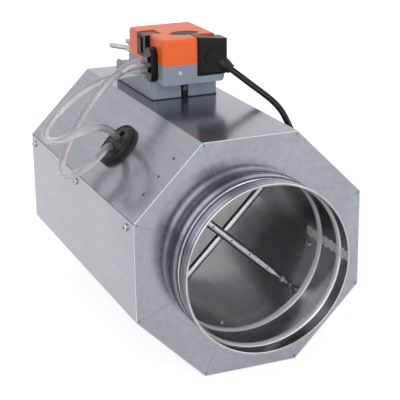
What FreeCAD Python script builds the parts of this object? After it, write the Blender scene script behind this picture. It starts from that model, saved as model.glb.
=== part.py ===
import FreeCAD, Part
import Sketcher
import math
import os
import re

# Variable air volume box for a 160 mm round duct: an insulated octagonal casing with a spigot at
# each end, a measuring cross, a round damper blade on a vertical shaft, and an actuator on top.
# X points right as seen from the inlet, Y runs along the duct with the air, Z points up.
# The origin is on the duct axis in the plane of the casing's inlet face.

Vector = FreeCAD.Vector
Rotation = FreeCAD.Rotation

SIZES = {
    # Clearances
    "seat": 0.3,
    "running": 0.05,
    # Folded sheet casing
    "across_flats": 224.0,
    "casing_length": 320.0,
    "sheet": 1.0,
    "seam_gap": 0.3,
    "lip_depth": 18.0,
    "mitre_gap": 0.5,
    "relief_radius": 1.1,
    # Screws along the two seams
    "seam_screw_drop": 8.5,
    "seam_screw_front": 20.0,
    "seam_screw_middle": 5.0,
    "seam_screw_rear": 10.0,
    "seam_screw_radius": 1.75,
    "seam_screw_head": 3.5,
    "seam_screw_head_height": 2.4,
    "seam_screw_length": 8.0,
    # Three small holes in the upper left facet, near the inlet
    "facet_hole_place": 23.0,
    "facet_hole_radius": 1.5,
    # Spigots and the duct between them
    "spigot_radius": 79.6,
    "spigot_wall": 0.8,
    "spigot_projection": 40.0,
    "spigot_overlap": 41.5,
    "bead_width": 9.0,
    "bead_depth": 1.8,
    "outer_bead": 21.0,
    "inner_bead": 16.0,
    "duct_wall": 0.8,
    "spigot_rivet_place": 36.0,
    "spigot_rivet_radius": 1.6,
    "spigot_rivet_head": 3.0,
    # Damper
    "shaft_place": 234.0,
    "shaft_radius": 6.0,
    "shaft_end": 0.9,
    "bush_radius": 9.0,
    "bush_flange": 12.0,
    "bush_flange_height": 2.5,
    "bush_length": 10.0,
    "bush_floor": 2.0,
    "bush_reach": 2.7,
    "seal_neck": 10.0,
    "seal_flange": 12.5,
    "seal_flange_height": 1.2,
    "blade_gap": 0.5,
    "seal_thickness": 3.0,
    "seal_width": 18.0,
    "blade_sheet": 1.0,
    "blade_inset": 2.4,
    "blade_rivet_inset": 10.4,
    "blade_rivet_radius": 1.6,
    "blade_rivet_head": 3.2,
    "blade_bolt_place": 40.0,
    "blade_bolt_radius": 2.0,
    "blade_bolt_head": 3.6,
    # Measuring cross
    "probe_radius": 4.0,
    "probe_bore": 3.0,
    "total_probe_place": 46.0,
    "static_probe_place": 65.0,
    "probe_stand": 8.9,
    "probe_taper": 14.0,
    "probe_tip_thickness": 1.4,
    "probe_hole_radius": 0.9,
    "probe_hole_step": 25.0,
    "probe_tail": 9.0,
    "probe_rivet_radius": 1.6,
    "probe_rivet_head": 3.0,
    "ferrule_radius": 5.2,
    "ferrule_flange": 8.0,
    "ferrule_length": 5.0,
    # Rubber grommet for the two hoses
    "grommet_place": 128.7,
    "grommet_radius": 22.4,
    "grommet_height": 5.3,
    "grommet_neck": 17.0,
    "grommet_back": 19.5,
    "grommet_back_height": 3.0,
    "hose_radius": 3.65,
    # Pedestal under the actuator
    "gasket_height": 1.0,
    "gasket_width": 4.0,
    "pedestal_left": 33.0,
    "pedestal_right": 36.5,
    "pedestal_front": 157.0,
    "pedestal_rear": 265.0,
    "pedestal_height": 17.5,
    "pedestal_wall": 2.5,
    "pedestal_slot": 7.6,
    "slot_place": 1.2,
    "ledge_height": 3.0,
    "strap_width": 5.4,
    "strap_foot": 10.0,
    "strap_thickness": 1.3,
    "strap_lip": 2.2,
    "strap_pin_lift": 9.5,
    "strap_screw_radius": 1.25,
    "strap_screw_head": 2.2,
    # Actuator housing
    "housing_left": 34.5,
    "front_left": 29.0,
    "housing_right": 32.0,
    "base_right": 36.0,
    "housing_front": 135.5,
    "housing_rear": 217.5,
    "housing_wall": 2.2,
    "housing_height": 19.3,
    "housing_corner": 4.5,
    "cover_height": 25.2,
    "nose_radius": 27.0,
    "nose_height": 10.7,
    "nose_plate": 1.6,
    "inlay_front": 171.0,
    "inlay_rear": 192.0,
    "inlay_depth": 17.0,
    "inlay_lift": 3.0,
    "lens_place_x": 4.0,
    "lens_place_y": 163.5,
    "lens_length": 31.0,
    "lens_width": 20.0,
    "lens_depth": 2.6,
    "screw_radius": 1.5,
    "screw_head": 2.2,
    "nose_screw_radius": 0.9,
    "nose_screw_head": 1.6,
    "nose_screw_boss": 1.9,
    "nose_screw_circle": 24.7,
    # Terminal cover and cable entry
    "terminal_left": 6.5,
    "terminal_right": 37.3,
    "terminal_front": 132.5,
    "terminal_rear": 152.5,
    "terminal_lift": 7.0,
    "terminal_corner": 3.0,
    "terminal_wall": 1.8,
    "boss_radius": 8.5,
    "boss_height": 1.0,
    "cable_radius": 3.1,
    "boot_radius": 6.4,
    "boot_tip": 4.4,
    "boot_taper": 8.0,
    "boot_socket": 8.0,
    # Pressure ports
    "port_place": 157.5,
    "port_lift": 18.0,
    "port_half_width": 7.8,
    "port_half_height": 17.0,
    "port_thickness": 7.3,
    "nipple_radius": 2.4,
    "nipple_barb": 2.9,
    "nipple_length": 7.0,
    "upper_nipple": 22.5,
    "lower_nipple": 12.5,
    # Gear train
    "tooth_module": 0.9,
    "small_teeth": 12.0,
    "wheel_teeth": 36.0,
    "output_teeth": 48.0,
    "gear_thickness": 2.8,
    "gear_gap": 0.4,
    "gear_shift": 8.0,
    "axle_radius": 1.5,
    "motor_radius": 11.5,
    "motor_height": 21.0,
    "board_lift": 10.2,
    "board_thickness": 1.6,
    # Clamp on the shaft
    "collar_radius": 10.4,
    "clamp_lift": 34.4,
    "bolt_radius": 2.3,
    "bolt_spread": 13.0,
    "bolt_reach": 49.0,
    "yoke_reach": 20.0,
    "yoke_half_width": 17.0,
    "yoke_half_height": 4.4,
    "nut_width": 8.0,
    "nut_height": 4.0,
    "pointer_thickness": 1.5,
    # Release button in the left inlay
    "button_place": 184.5,
    "button_lift": 5.5,
    "button_width": 8.0,
    "button_height": 15.0,
    "button_length": 9.6,
    "button_proud": 0.6,
    "button_travel": 2.5,
}

EIGHTH = 45.0
CORNER = EIGHTH / 2
APOTHEM_TO_CORNER = 1 / math.cos(math.radians(CORNER))
CLAMP_ANGLE = 120.0
TOTAL_PROBE_ANGLE = 138.0
STATIC_PROBE_ANGLE = 45.0
GROMMET_ANGLE = 135.0
TERMINAL_SLOPE = 6.0

doc = FreeCAD.newDocument("vav_box")
sheet = doc.addObject("Spreadsheet::Sheet", "size")
for row, (alias, value) in enumerate(SIZES.items(), start=1):
    sheet.set("A%d" % row, alias)
    sheet.set("B%d" % row, str(value))
    sheet.setAlias("B%d" % row, alias)
doc.recompute()

WORD = re.compile(r"[a-z][a-z_]+")
NODES = []


def bound(text):
    """Write an expression on the spreadsheet's cells from one on the bare names of the sizes."""
    return WORD.sub(lambda word: "size." + word.group() if word.group() in SIZES else word.group(),
                    str(text))


def number(text):
    """Value of an expression on the sizes."""
    return float(sheet.evalExpression(bound(text)))


def bind(piece, **sizes):
    """Tie the properties of a piece to expressions on the sizes."""
    for name, text in sizes.items():
        piece.setExpression(name.replace("_", "."), bound(text))


def place(piece, x, y, z, rotation=None):
    """Put a piece at a bound position, turned by a fixed rotation."""
    if rotation:
        piece.Placement = FreeCAD.Placement(Vector(), rotation)
    bind(piece, Placement_Base_x=x, Placement_Base_y=y, Placement_Base_z=z)
    return piece


def box(name, x, y, z):
    """Block between two bound values on each axis."""
    piece = doc.addObject("Part::Box", name)
    bind(piece, Length="(%s) - (%s)" % (x[1], x[0]), Width="(%s) - (%s)" % (y[1], y[0]))
    bind(piece, Height="(%s) - (%s)" % (z[1], z[0]))
    return place(piece, x[0], y[0], z[0])


AXES = {
    "x": Rotation(Vector(0, 1, 0), 90),
    "y": Rotation(Vector(1, 0, 0), -90),
    "z": Rotation(),
}


def cylinder(name, radius, axis, centre, span):
    """Cylinder along a main axis; centre gives the two other coordinates in X, Y, Z order."""
    piece = doc.addObject("Part::Cylinder", name)
    bind(piece, Radius=radius, Height="(%s) - (%s)" % (span[1], span[0]))
    base = list(centre)
    base.insert("xyz".index(axis), span[0])
    return place(piece, base[0], base[1], base[2], AXES[axis])


def cone(name, low, high, axis, centre, span):
    """Cone along a main axis from one radius to another."""
    piece = doc.addObject("Part::Cone", name)
    bind(piece, Radius1=low, Radius2=high, Height="(%s) - (%s)" % (span[1], span[0]))
    base = list(centre)
    base.insert("xyz".index(axis), span[0])
    return place(piece, base[0], base[1], base[2], AXES[axis])


def radial(name, radius, y, angle, span, aside="0"):
    """Cylinder square to the duct axis, from one distance to another, at an angle from X to Z."""
    piece = doc.addObject("Part::Cylinder", name)
    bind(piece, Radius=radius, Height="(%s) - (%s)" % (span[1], span[0]))
    out = (math.cos(math.radians(angle)), math.sin(math.radians(angle)))
    x = "(%s) * %.9f + (%s) * %.9f" % (span[0], out[0], aside, out[1])
    z = "(%s) * %.9f - (%s) * %.9f" % (span[0], out[1], aside, out[0])
    return place(piece, x, y, z, Rotation(Vector(0, 1, 0), 90 - angle))


def octagon(name, apothem, y):
    """Octagonal prism round the duct axis, flat at the top, bottom and sides."""
    piece = doc.addObject("Part::Prism", name)
    piece.Polygon = 8
    bind(piece, Circumradius="(%s) * %.9f" % (apothem, APOTHEM_TO_CORNER))
    bind(piece, Height="(%s) - (%s)" % (y[1], y[0]))
    turn = AXES["y"].multiply(Rotation(Vector(0, 0, 1), CORNER))
    return place(piece, "0", y[0], "0", turn)


def cut(name, base, *tools):
    """Base with each tool taken away."""
    tool = tools[0] if len(tools) == 1 else fuse(name + "_tools", *tools)
    piece = doc.addObject("Part::Cut", name)
    piece.Base = base
    piece.Tool = tool
    return piece


def fuse(name, *pieces):
    """Pieces joined into one."""
    piece = doc.addObject("Part::MultiFuse", name)
    piece.Shapes = list(pieces)
    piece.Refine = True
    return piece


def common(name, *pieces):
    """What the pieces share."""
    piece = doc.addObject("Part::MultiCommon", name)
    piece.Shapes = list(pieces)
    return piece


def rounded(name, base, radius, chosen):
    """Round the edges of a piece that the test picks."""
    doc.recompute()
    piece = doc.addObject("Part::Fillet", name)
    piece.Base = base
    size = number(radius)
    piece.Edges = [(index + 1, size, size) for index, edge in enumerate(base.Shape.Edges) if chosen(edge)]
    return piece


def upright(edge):
    """True for an edge along Z."""
    ends = [vertex.Point for vertex in edge.Vertexes]
    return len(ends) == 2 and abs(ends[0].x - ends[1].x) + abs(ends[0].y - ends[1].y) < 1e-6


def solid(name, shape):
    """Piece whose shape is worked out from the sheet's values."""
    piece = doc.addObject("Part::Feature", name)
    piece.Shape = shape
    return piece


def keep(node, piece):
    """Name a finished sub-part."""
    piece.Label = node
    NODES.append((node, piece))
    return piece


def body_sketch(body, role, name):
    """Sketch on one of the origin planes of a body."""
    plane = [item for item in body.Origin.OriginFeatures if item.Role == role][0]
    sketch = body.newObject("Sketcher::SketchObject", name)
    sketch.AttachmentSupport = (plane, [""])
    sketch.MapMode = "FlatFace"
    return sketch


def outline(sketch, corners):
    """Closed outline through bound corners; a third value arcs to the next corner, left if positive."""
    points = [Vector(number(corner[0]), number(corner[1]), 0) for corner in corners]
    ends = []
    for index, corner in enumerate(corners):
        start = points[index]
        end = points[(index + 1) % len(points)]
        if len(corner) == 2:
            line = sketch.addGeometry(Part.LineSegment(start, end))
            ends.append((line, 1, 2))
            continue
        radius = number(corner[2])
        chord = end - start
        half = chord.Length / 2
        rise = abs(radius) - math.sqrt(radius * radius - half * half)
        side = Vector(-chord.y, chord.x, 0).normalize() * math.copysign(rise, radius)
        middle = (start + end) * 0.5 + side
        if radius > 0:
            arc = sketch.addGeometry(Part.Arc(end, middle, start))
            ends.append((arc, 2, 1))
        else:
            arc = sketch.addGeometry(Part.Arc(start, middle, end))
            ends.append((arc, 1, 2))
        row = sketch.addConstraint(Sketcher.Constraint("Radius", arc, abs(radius)))
        sketch.setExpression("Constraints[%d]" % row, bound("abs(%s)" % corner[2]))
    for index, corner in enumerate(corners):
        last = ends[index - 1]
        here = ends[index]
        sketch.addConstraint(Sketcher.Constraint("Coincident", last[0], last[2], here[0], here[1]))
        for kind, text, value in (("DistanceX", corner[0], points[index].x),
                                  ("DistanceY", corner[1], points[index].y)):
            row = sketch.addConstraint(Sketcher.Constraint(kind, -1, 1, here[0], here[1], value))
            sketch.setExpression("Constraints[%d]" % row, bound(text))


def turned(node, corners):
    """Body turned about the Y axis from corners given as radius and distance along the axis."""
    body = doc.addObject("PartDesign::Body", node)
    sketch = body_sketch(body, "XY_Plane", node + "_profile")
    outline(sketch, corners)
    turn = body.newObject("PartDesign::Revolution", node + "_turn")
    turn.Profile = sketch
    turn.ReferenceAxis = (sketch, ["V_Axis"])
    turn.Angle = 360
    sketch.Visibility = False
    return body


HALF = "across_flats / 2"
END = "casing_length"
DUCT_INNER = "spigot_radius + seat"
DUCT_OUTER = "spigot_radius + seat + duct_wall"
INNER_FRONT = "sheet + seat"
INNER_REAR = "casing_length - sheet - seat"
TAPER_END = "(spigot_radius + seat - probe_stand)"
TAPER_START = "(spigot_radius + seat - probe_stand - probe_taper)"
SHAFT = ("0", "shaft_place")
SHAFT_TOP = "across_flats / 2 + clamp_lift + yoke_half_height + seat + pointer_thickness + shaft_end"
STRAP_LEFT = "slot_place - strap_width / 2"
STRAP_SCREW = ("slot_place", "pedestal_front + strap_thickness + strap_foot / 2")
STRAP_PIN = ("slot_place", HALF + " + strap_pin_lift")
GASKET_TOP = "across_flats / 2 + gasket_height"
PEDESTAL_TOP = GASKET_TOP + " + pedestal_height"
SPLIT = PEDESTAL_TOP + " + housing_height"
COVER_TOP = SPLIT + " + cover_height"
NOSE_TOP = PEDESTAL_TOP + " + nose_height"
FRONT_SCREW = ("-11.5", PEDESTAL_TOP + " + 11.5")
BOSS_HEIGHT = PEDESTAL_TOP + " + 25"
MOTOR_LOW = PEDESTAL_TOP + " + 13.5"
BUTTON_LOW = SPLIT + " + button_lift"


def seam_screw_places():
    """Side of the casing and place along it of each seam screw."""
    rows = ("seam_screw_front", "casing_length / 2 + seam_screw_middle", "casing_length - seam_screw_rear")
    return [(side, row) for side in (-1, 1) for row in rows]


def seam_height(side):
    """Height of the seam screws on one side: under the left seam, above the right one."""
    return "%d * ((across_flats / 2) * %.9f - seam_screw_drop)" % (-side, math.tan(math.radians(CORNER)))


def sideways(name, radius, side, y, z, span):
    """Cylinder along X on the left (-1) or right (1), between two distances from the middle."""
    if side > 0:
        return cylinder(name, radius, "x", (y, z), span)
    return cylinder(name, radius, "x", (y, z), ("-(%s)" % span[1], "-(%s)" % span[0]))


def casing_shell(node, turn, openings):
    """Half of the casing: four folded facets with their end flanges and a lip inside the other half."""
    spin = Rotation(Vector(0, 1, 0), turn)
    outer = octagon(node + "_outer", HALF, ("0", END))
    inner = octagon(node + "_inner", HALF + " - sheet", ("sheet", END + " - sheet"))
    mouth = cylinder(node + "_mouth", DUCT_INNER, "y", ("0", "0"), ("-1", END + " + 1"))
    hollow = cut(node + "_hollow", outer, inner, mouth)
    side = doc.addObject("Part::Box", node + "_side")
    bind(side, Length="2 * across_flats", Width=END + " + 2", Height="across_flats")
    lean = spin.multiply(Rotation(Vector(0, 1, 0), CORNER))
    across = lean.multVec(Vector(1, 0, 0))
    up = lean.multVec(Vector(0, 0, 1))
    place(
        side,
        "across_flats * %.9f + seam_gap / 2 * %.9f" % (-across.x, up.x),
        "-1",
        "across_flats * %.9f + seam_gap / 2 * %.9f" % (-across.z, up.z),
        lean,
    )
    half = common(node + "_half", hollow, side)
    lip = doc.addObject("Part::Box", node + "_lip")
    bind(lip, Length="sheet", Width="casing_length - 2 * sheet - 2 * seat", Height="lip_depth + sheet")
    corner = "(across_flats / 2) * %.9f" % math.tan(math.radians(CORNER))
    out = spin.multVec(Vector(-1, 0, 0)).x
    place(
        lip,
        "%.9f * (across_flats / 2 - sheet - seat)" % out,
        INNER_FRONT,
        "%.9f * (lip_depth - %s)" % (out, corner),
        spin,
    )
    folded = fuse(node + "_folded", half, lip)
    tools = list(openings)
    for index in range(8):
        angle = CORNER + EIGHTH * index
        relief = doc.addObject("Part::Cylinder", "%s_relief_%d" % (node, index))
        bind(relief, Radius="relief_radius", Height=END + " + 2")
        reach = "((across_flats / 2) * %.9f - 2 * sheet - relief_radius)" % APOTHEM_TO_CORNER
        out = (math.cos(math.radians(angle)), math.sin(math.radians(angle)))
        place(relief, "%s * %.9f" % (reach, out[0]), "-1", "%s * %.9f" % (reach, out[1]), AXES["y"])
        slots = []
        for end in ("-1", END + " - sheet"):
            slot = doc.addObject("Part::Box", "%s_mitre_%d" % (node, index))
            bind(slot, Length=reach, Width="sheet + 1", Height="mitre_gap")
            x = "mitre_gap / 2 * %.9f" % out[1]
            z = "mitre_gap / 2 * %.9f" % -out[0]
            place(slot, x, end, z, Rotation(Vector(0, 1, 0), -angle))
            slots.append(slot)
        tools += [relief] + slots
    for index, (hand, row) in enumerate(seam_screw_places()):
        span = (HALF + " - 10", HALF + " + 1")
        tools.append(sideways("%s_screw_hole_%d" % (node, index), "seam_screw_radius + running", hand,
                              row, seam_height(hand), span))
    return keep(node, cut(node, folded, *tools))


def casing():
    """Two folded shells, the insulation in each and the screws along the seams."""
    shaft_hole = cylinder("casing_shaft_hole", "seal_neck + running", "z", SHAFT, ("0", "across_flats"))
    strap_hole = cylinder("casing_strap_hole", "strap_screw_radius + running", "z", STRAP_SCREW,
                          ("0", "across_flats"))
    grommet_hole = radial("casing_grommet_hole", "grommet_neck + seat", "grommet_place", GROMMET_ANGLE,
                          (HALF + " - 10", HALF + " + 10"))
    facet_holes = [radial("casing_facet_hole_%d" % index, "facet_hole_radius", "facet_hole_place",
                          GROMMET_ANGLE, (HALF + " - 10", HALF + " + 1"), aside)
                   for index, aside in enumerate(("-20.5", "0", "21"))]
    casing_shell("casing_upper", 0, [shaft_hole, strap_hole, grommet_hole] + facet_holes)
    casing_shell("casing_lower", 180, [])

    screws = []
    for index, (hand, row) in enumerate(seam_screw_places()):
        z = seam_height(hand)
        shank = sideways("seam_screw_shank_%d" % index, "seam_screw_radius", hand, row, z,
                         (HALF + " + sheet / 2 - seam_screw_length", HALF + " + sheet / 2"))
        head = sideways("seam_screw_head_%d" % index, "seam_screw_head", hand, row, z,
                        (HALF, HALF + " + seam_screw_head_height"))
        doc.recompute()
        far = max(abs(head.Shape.BoundBox.XMin), abs(head.Shape.BoundBox.XMax))
        domed = rounded("seam_screw_dome_%d" % index, head, "seam_screw_head_height * 0.6",
                        lambda edge: abs(abs(edge.CenterOfMass.x) - far) < 1e-3)
        driver = sideways("seam_screw_driver_%d" % index, "seam_screw_radius * 0.8", hand, row, z,
                          (HALF + " + seam_screw_head_height / 2", HALF + " + 5"))
        screws.append(cut("seam_screw_%d" % index, fuse("seam_screw_blank_%d" % index, shank, domed),
                          driver))
    keep("casing_screws", fuse("casing_screws", *screws))


def insulation():
    """Mineral wool shells that fill the space between the casing and the duct."""
    for node, turn in (("insulation_upper", 0), ("insulation_lower", 180)):
        blank = octagon(node + "_blank", HALF + " - 2 * sheet - 2 * seat", (INNER_FRONT, INNER_REAR))
        core = cylinder(node + "_core", DUCT_OUTER + " + seat", "y", ("0", "0"), ("-1", END + " + 1"))
        pockets = [
            core,
            cylinder(node + "_shaft_pocket", "bush_flange + 1", "z", SHAFT,
                     ("-across_flats", "across_flats")),
            cylinder(node + "_strap_pocket", "strap_screw_radius + 1", "z", STRAP_SCREW,
                     (HALF + " - 12", HALF)),
            radial(node + "_hose_pocket", "grommet_back + 1", "grommet_place", GROMMET_ANGLE, ("60", HALF)),
        ]
        for index, angle in enumerate((TOTAL_PROBE_ANGLE, TOTAL_PROBE_ANGLE + 180)):
            pockets.append(radial("%s_total_pocket_%d" % (node, index), "ferrule_flange + 2",
                                  "total_probe_place", angle, ("60", DUCT_OUTER + " + 16")))
        for index, angle in enumerate((STATIC_PROBE_ANGLE, STATIC_PROBE_ANGLE + 180)):
            pockets.append(radial("%s_static_pocket_%d" % (node, index), "ferrule_flange + 2",
                                  "static_probe_place", angle, ("60", DUCT_OUTER + " + 16")))
        for index, (y, angle) in enumerate(spigot_rivet_places()):
            pockets.append(radial("%s_rivet_pocket_%d" % (node, index), "spigot_rivet_head + seat", y, angle,
                                  ("60", DUCT_OUTER + " + 4")))
        for index, (hand, row) in enumerate(seam_screw_places()):
            pockets.append(sideways("%s_screw_pocket_%d" % (node, index), "seam_screw_radius + 1", hand, row,
                                    seam_height(hand), (HALF + " - 12", HALF)))
        side = doc.addObject("Part::Box", node + "_side")
        bind(side, Length="2 * across_flats", Width=END + " + 2", Height="across_flats")
        lean = Rotation(Vector(0, 1, 0), turn + CORNER)
        across = lean.multVec(Vector(1, 0, 0))
        place(side, "across_flats * %.9f" % -across.x, "-1", "across_flats * %.9f" % -across.z, lean)
        keep(node, cut(node, common(node + "_half", blank, side), *pockets))


def spigot_rivet_places():
    """Place along the duct and angle of each rivet that joins a spigot to the duct."""
    rows = ("spigot_rivet_place", "casing_length - spigot_rivet_place")
    return [(row, -100 + 90 * quarter) for row in rows for quarter in range(4)]


def spigot_corners(mirror):
    """Radius and place of the corners of a spigot's wall, with its two inward beads as arcs."""
    arc = "((bead_width ^ 2 / 4 + bead_depth ^ 2) / (2 * bead_depth))"
    inner_arc = "(%s + spigot_wall)" % arc
    reach = "sqrt(%s ^ 2 - (%s - bead_depth + spigot_wall) ^ 2)" % (inner_arc, arc)
    outer = "spigot_radius"
    inner = "spigot_radius - spigot_wall"
    corners = [(outer, "-spigot_projection")]
    for middle in ("-outer_bead", "inner_bead"):
        corners.append((outer, "%s - bead_width / 2" % middle, arc))
        corners.append((outer, "%s + bead_width / 2" % middle))
    corners.append((outer, "spigot_overlap"))
    corners.append((inner, "spigot_overlap"))
    for middle in ("inner_bead", "-outer_bead"):
        corners.append((inner, "%s + %s" % (middle, reach), "-" + inner_arc))
        corners.append((inner, "%s - %s" % (middle, reach)))
    corners.append((inner, "-spigot_projection"))
    if not mirror:
        return corners
    return [(corner[0], "casing_length - (%s)" % corner[1]) + tuple("-(%s)" % arc for arc in corner[2:])
            for corner in corners]


def duct():
    """Inner duct, the two beaded spigots and the rivets that hold them."""
    for node, mirror in (("front_spigot", False), ("rear_spigot", True)):
        wall = turned(node + "_wall", spigot_corners(mirror))
        holes = [
            radial("%s_rivet_hole_%d" % (node, index), "spigot_rivet_radius + running", y, angle,
                   ("60", "100"))
            for index, (y, angle) in enumerate(spigot_rivet_places())
            if y.startswith("casing") == mirror
        ]
        keep(node, cut(node, wall, *holes))

    outer = cylinder("duct_outer", DUCT_OUTER, "y", ("0", "0"), (INNER_FRONT, INNER_REAR))
    inner = cylinder("duct_inner", DUCT_INNER, "y", ("0", "0"), ("-1", END + " + 1"))
    tools = [inner]
    tools.append(cylinder("duct_shaft_hole", "bush_radius + running", "z", SHAFT,
                          ("-across_flats", "across_flats")))
    for index, (y, angle) in enumerate(spigot_rivet_places()):
        tools.append(radial("duct_rivet_hole_%d" % index, "spigot_rivet_radius + running", y, angle,
                            ("60", "100")))
    for name, y, angle in (("total", "total_probe_place", TOTAL_PROBE_ANGLE),
                           ("static", "static_probe_place", STATIC_PROBE_ANGLE)):
        tools.append(radial("duct_%s_hole" % name, "ferrule_radius + running", y, angle, ("60", "100")))
        tools.append(radial("duct_%s_rivet_hole" % name, "probe_rivet_radius + running", y, angle + 180,
                            ("60", "100")))
    keep("duct_tube", cut("duct_tube", outer, *tools))

    rivets = []
    for index, (y, angle) in enumerate(spigot_rivet_places()):
        shank = radial("spigot_rivet_shank_%d" % index, "spigot_rivet_radius", y, angle,
                       ("spigot_radius - spigot_wall - 0.6", DUCT_OUTER + " + 1"))
        head = radial("spigot_rivet_head_%d" % index, "spigot_rivet_head", y, angle,
                      ("spigot_radius - spigot_wall - 1.1", "spigot_radius - spigot_wall - 0.2"))
        rivets.append(fuse("spigot_rivet_%d" % index, shank, head))
    keep("spigot_rivets", fuse("spigot_rivets", *rivets))


def probe(node, y, angle, upstream):
    """Measuring tube across the duct with a flattened end on the far wall and small sensing holes."""
    near = angle + 180
    tube = radial(node + "_tube", "probe_radius", y, angle,
                  ("-" + TAPER_START, DUCT_OUTER + " + probe_tail"))
    bore = radial(node + "_bore", "probe_bore", y, angle, ("-%s + 2" % TAPER_START, DUCT_OUTER + " + 20"))
    out = Vector(math.cos(math.radians(near)), 0, math.sin(math.radians(near)))
    start = out * number(TAPER_START) + Vector(0, number(y), 0)
    end = out * number(TAPER_END) + Vector(0, number(y), 0)
    radius = number("probe_radius")
    tip = number("probe_tip_thickness")
    flat_side = Vector(0, 1, 0)
    round_edge = Part.Circle(start, out, radius)
    round_edge.XAxis = flat_side
    flat_edge = Part.Ellipse(end + flat_side * (radius * 1.2), end + out.cross(flat_side) * (tip / 2), end)
    wires = [Part.Wire(round_edge.toShape()), Part.Wire(flat_edge.toShape())]
    taper = solid(node + "_taper", Part.makeLoft(wires, True))
    parts = fuse(node + "_blank", tube, taper)
    holes = []
    for index in (-2, -1, 0, 1, 2):
        hole = doc.addObject("Part::Cylinder", "%s_hole_%d" % (node, index + 2))
        bind(hole, Radius="probe_hole_radius", Height="probe_radius + 2")
        start_y = y + (" - probe_radius - 2" if upstream else "")
        place(hole, "probe_hole_step * %.9f" % (index * out.x), start_y,
              "probe_hole_step * %.9f" % (index * out.z),
              AXES["y"])
        holes.append(hole)
    keep(node, cut(node, parts, bore, *holes))


def measuring_cross():
    """Two measuring tubes at right angles, their rivets and the ferrules where they leave the duct."""
    probe("total_pressure_tube", "total_probe_place", TOTAL_PROBE_ANGLE, True)
    probe("static_pressure_tube", "static_probe_place", STATIC_PROBE_ANGLE, False)
    rivets = []
    ferrules = []
    for name, y, angle in (("total", "total_probe_place", TOTAL_PROBE_ANGLE),
                           ("static", "static_probe_place", STATIC_PROBE_ANGLE)):
        knob = "probe_rivet_head"
        top = "%s + 1.2 - %s - seat" % (DUCT_OUTER, TAPER_END)
        rivet = turned("probe_rivet_" + name, [
            ("0", "0"), (knob + " * 0.6", "0"), (knob, knob + " * 0.45"), (knob, knob + " * 1.25"),
            (knob + " * 0.6", knob + " * 1.7"), ("probe_rivet_radius", knob + " * 1.7"),
            ("probe_rivet_radius", top), ("0", top)])
        out = Vector(math.cos(math.radians(angle + 180)), 0, math.sin(math.radians(angle + 180)))
        reach = "(%s + seat)" % TAPER_END
        rivets.append(place(rivet, "%s * %.9f" % (reach, out.x), y, "%s * %.9f" % (reach, out.z),
                            Rotation(Vector(0, 1, 0), out)))
        sleeve = radial("ferrule_sleeve_" + name, "ferrule_radius", y, angle,
                        (DUCT_INNER, DUCT_OUTER + " + ferrule_length"))
        flange = radial("ferrule_flange_" + name, "ferrule_flange", y, angle,
                        (DUCT_OUTER + " + seat", DUCT_OUTER + " + seat + 1.6"))
        bore = radial("ferrule_bore_" + name, "probe_radius + running", y, angle, ("60", "100"))
        ferrules.append(cut("ferrule_" + name, fuse("ferrule_blank_" + name, sleeve, flange), bore))
    keep("probe_rivets", fuse("probe_rivets", *rivets))
    keep("probe_ferrules", fuse("probe_ferrules", *ferrules))


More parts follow.
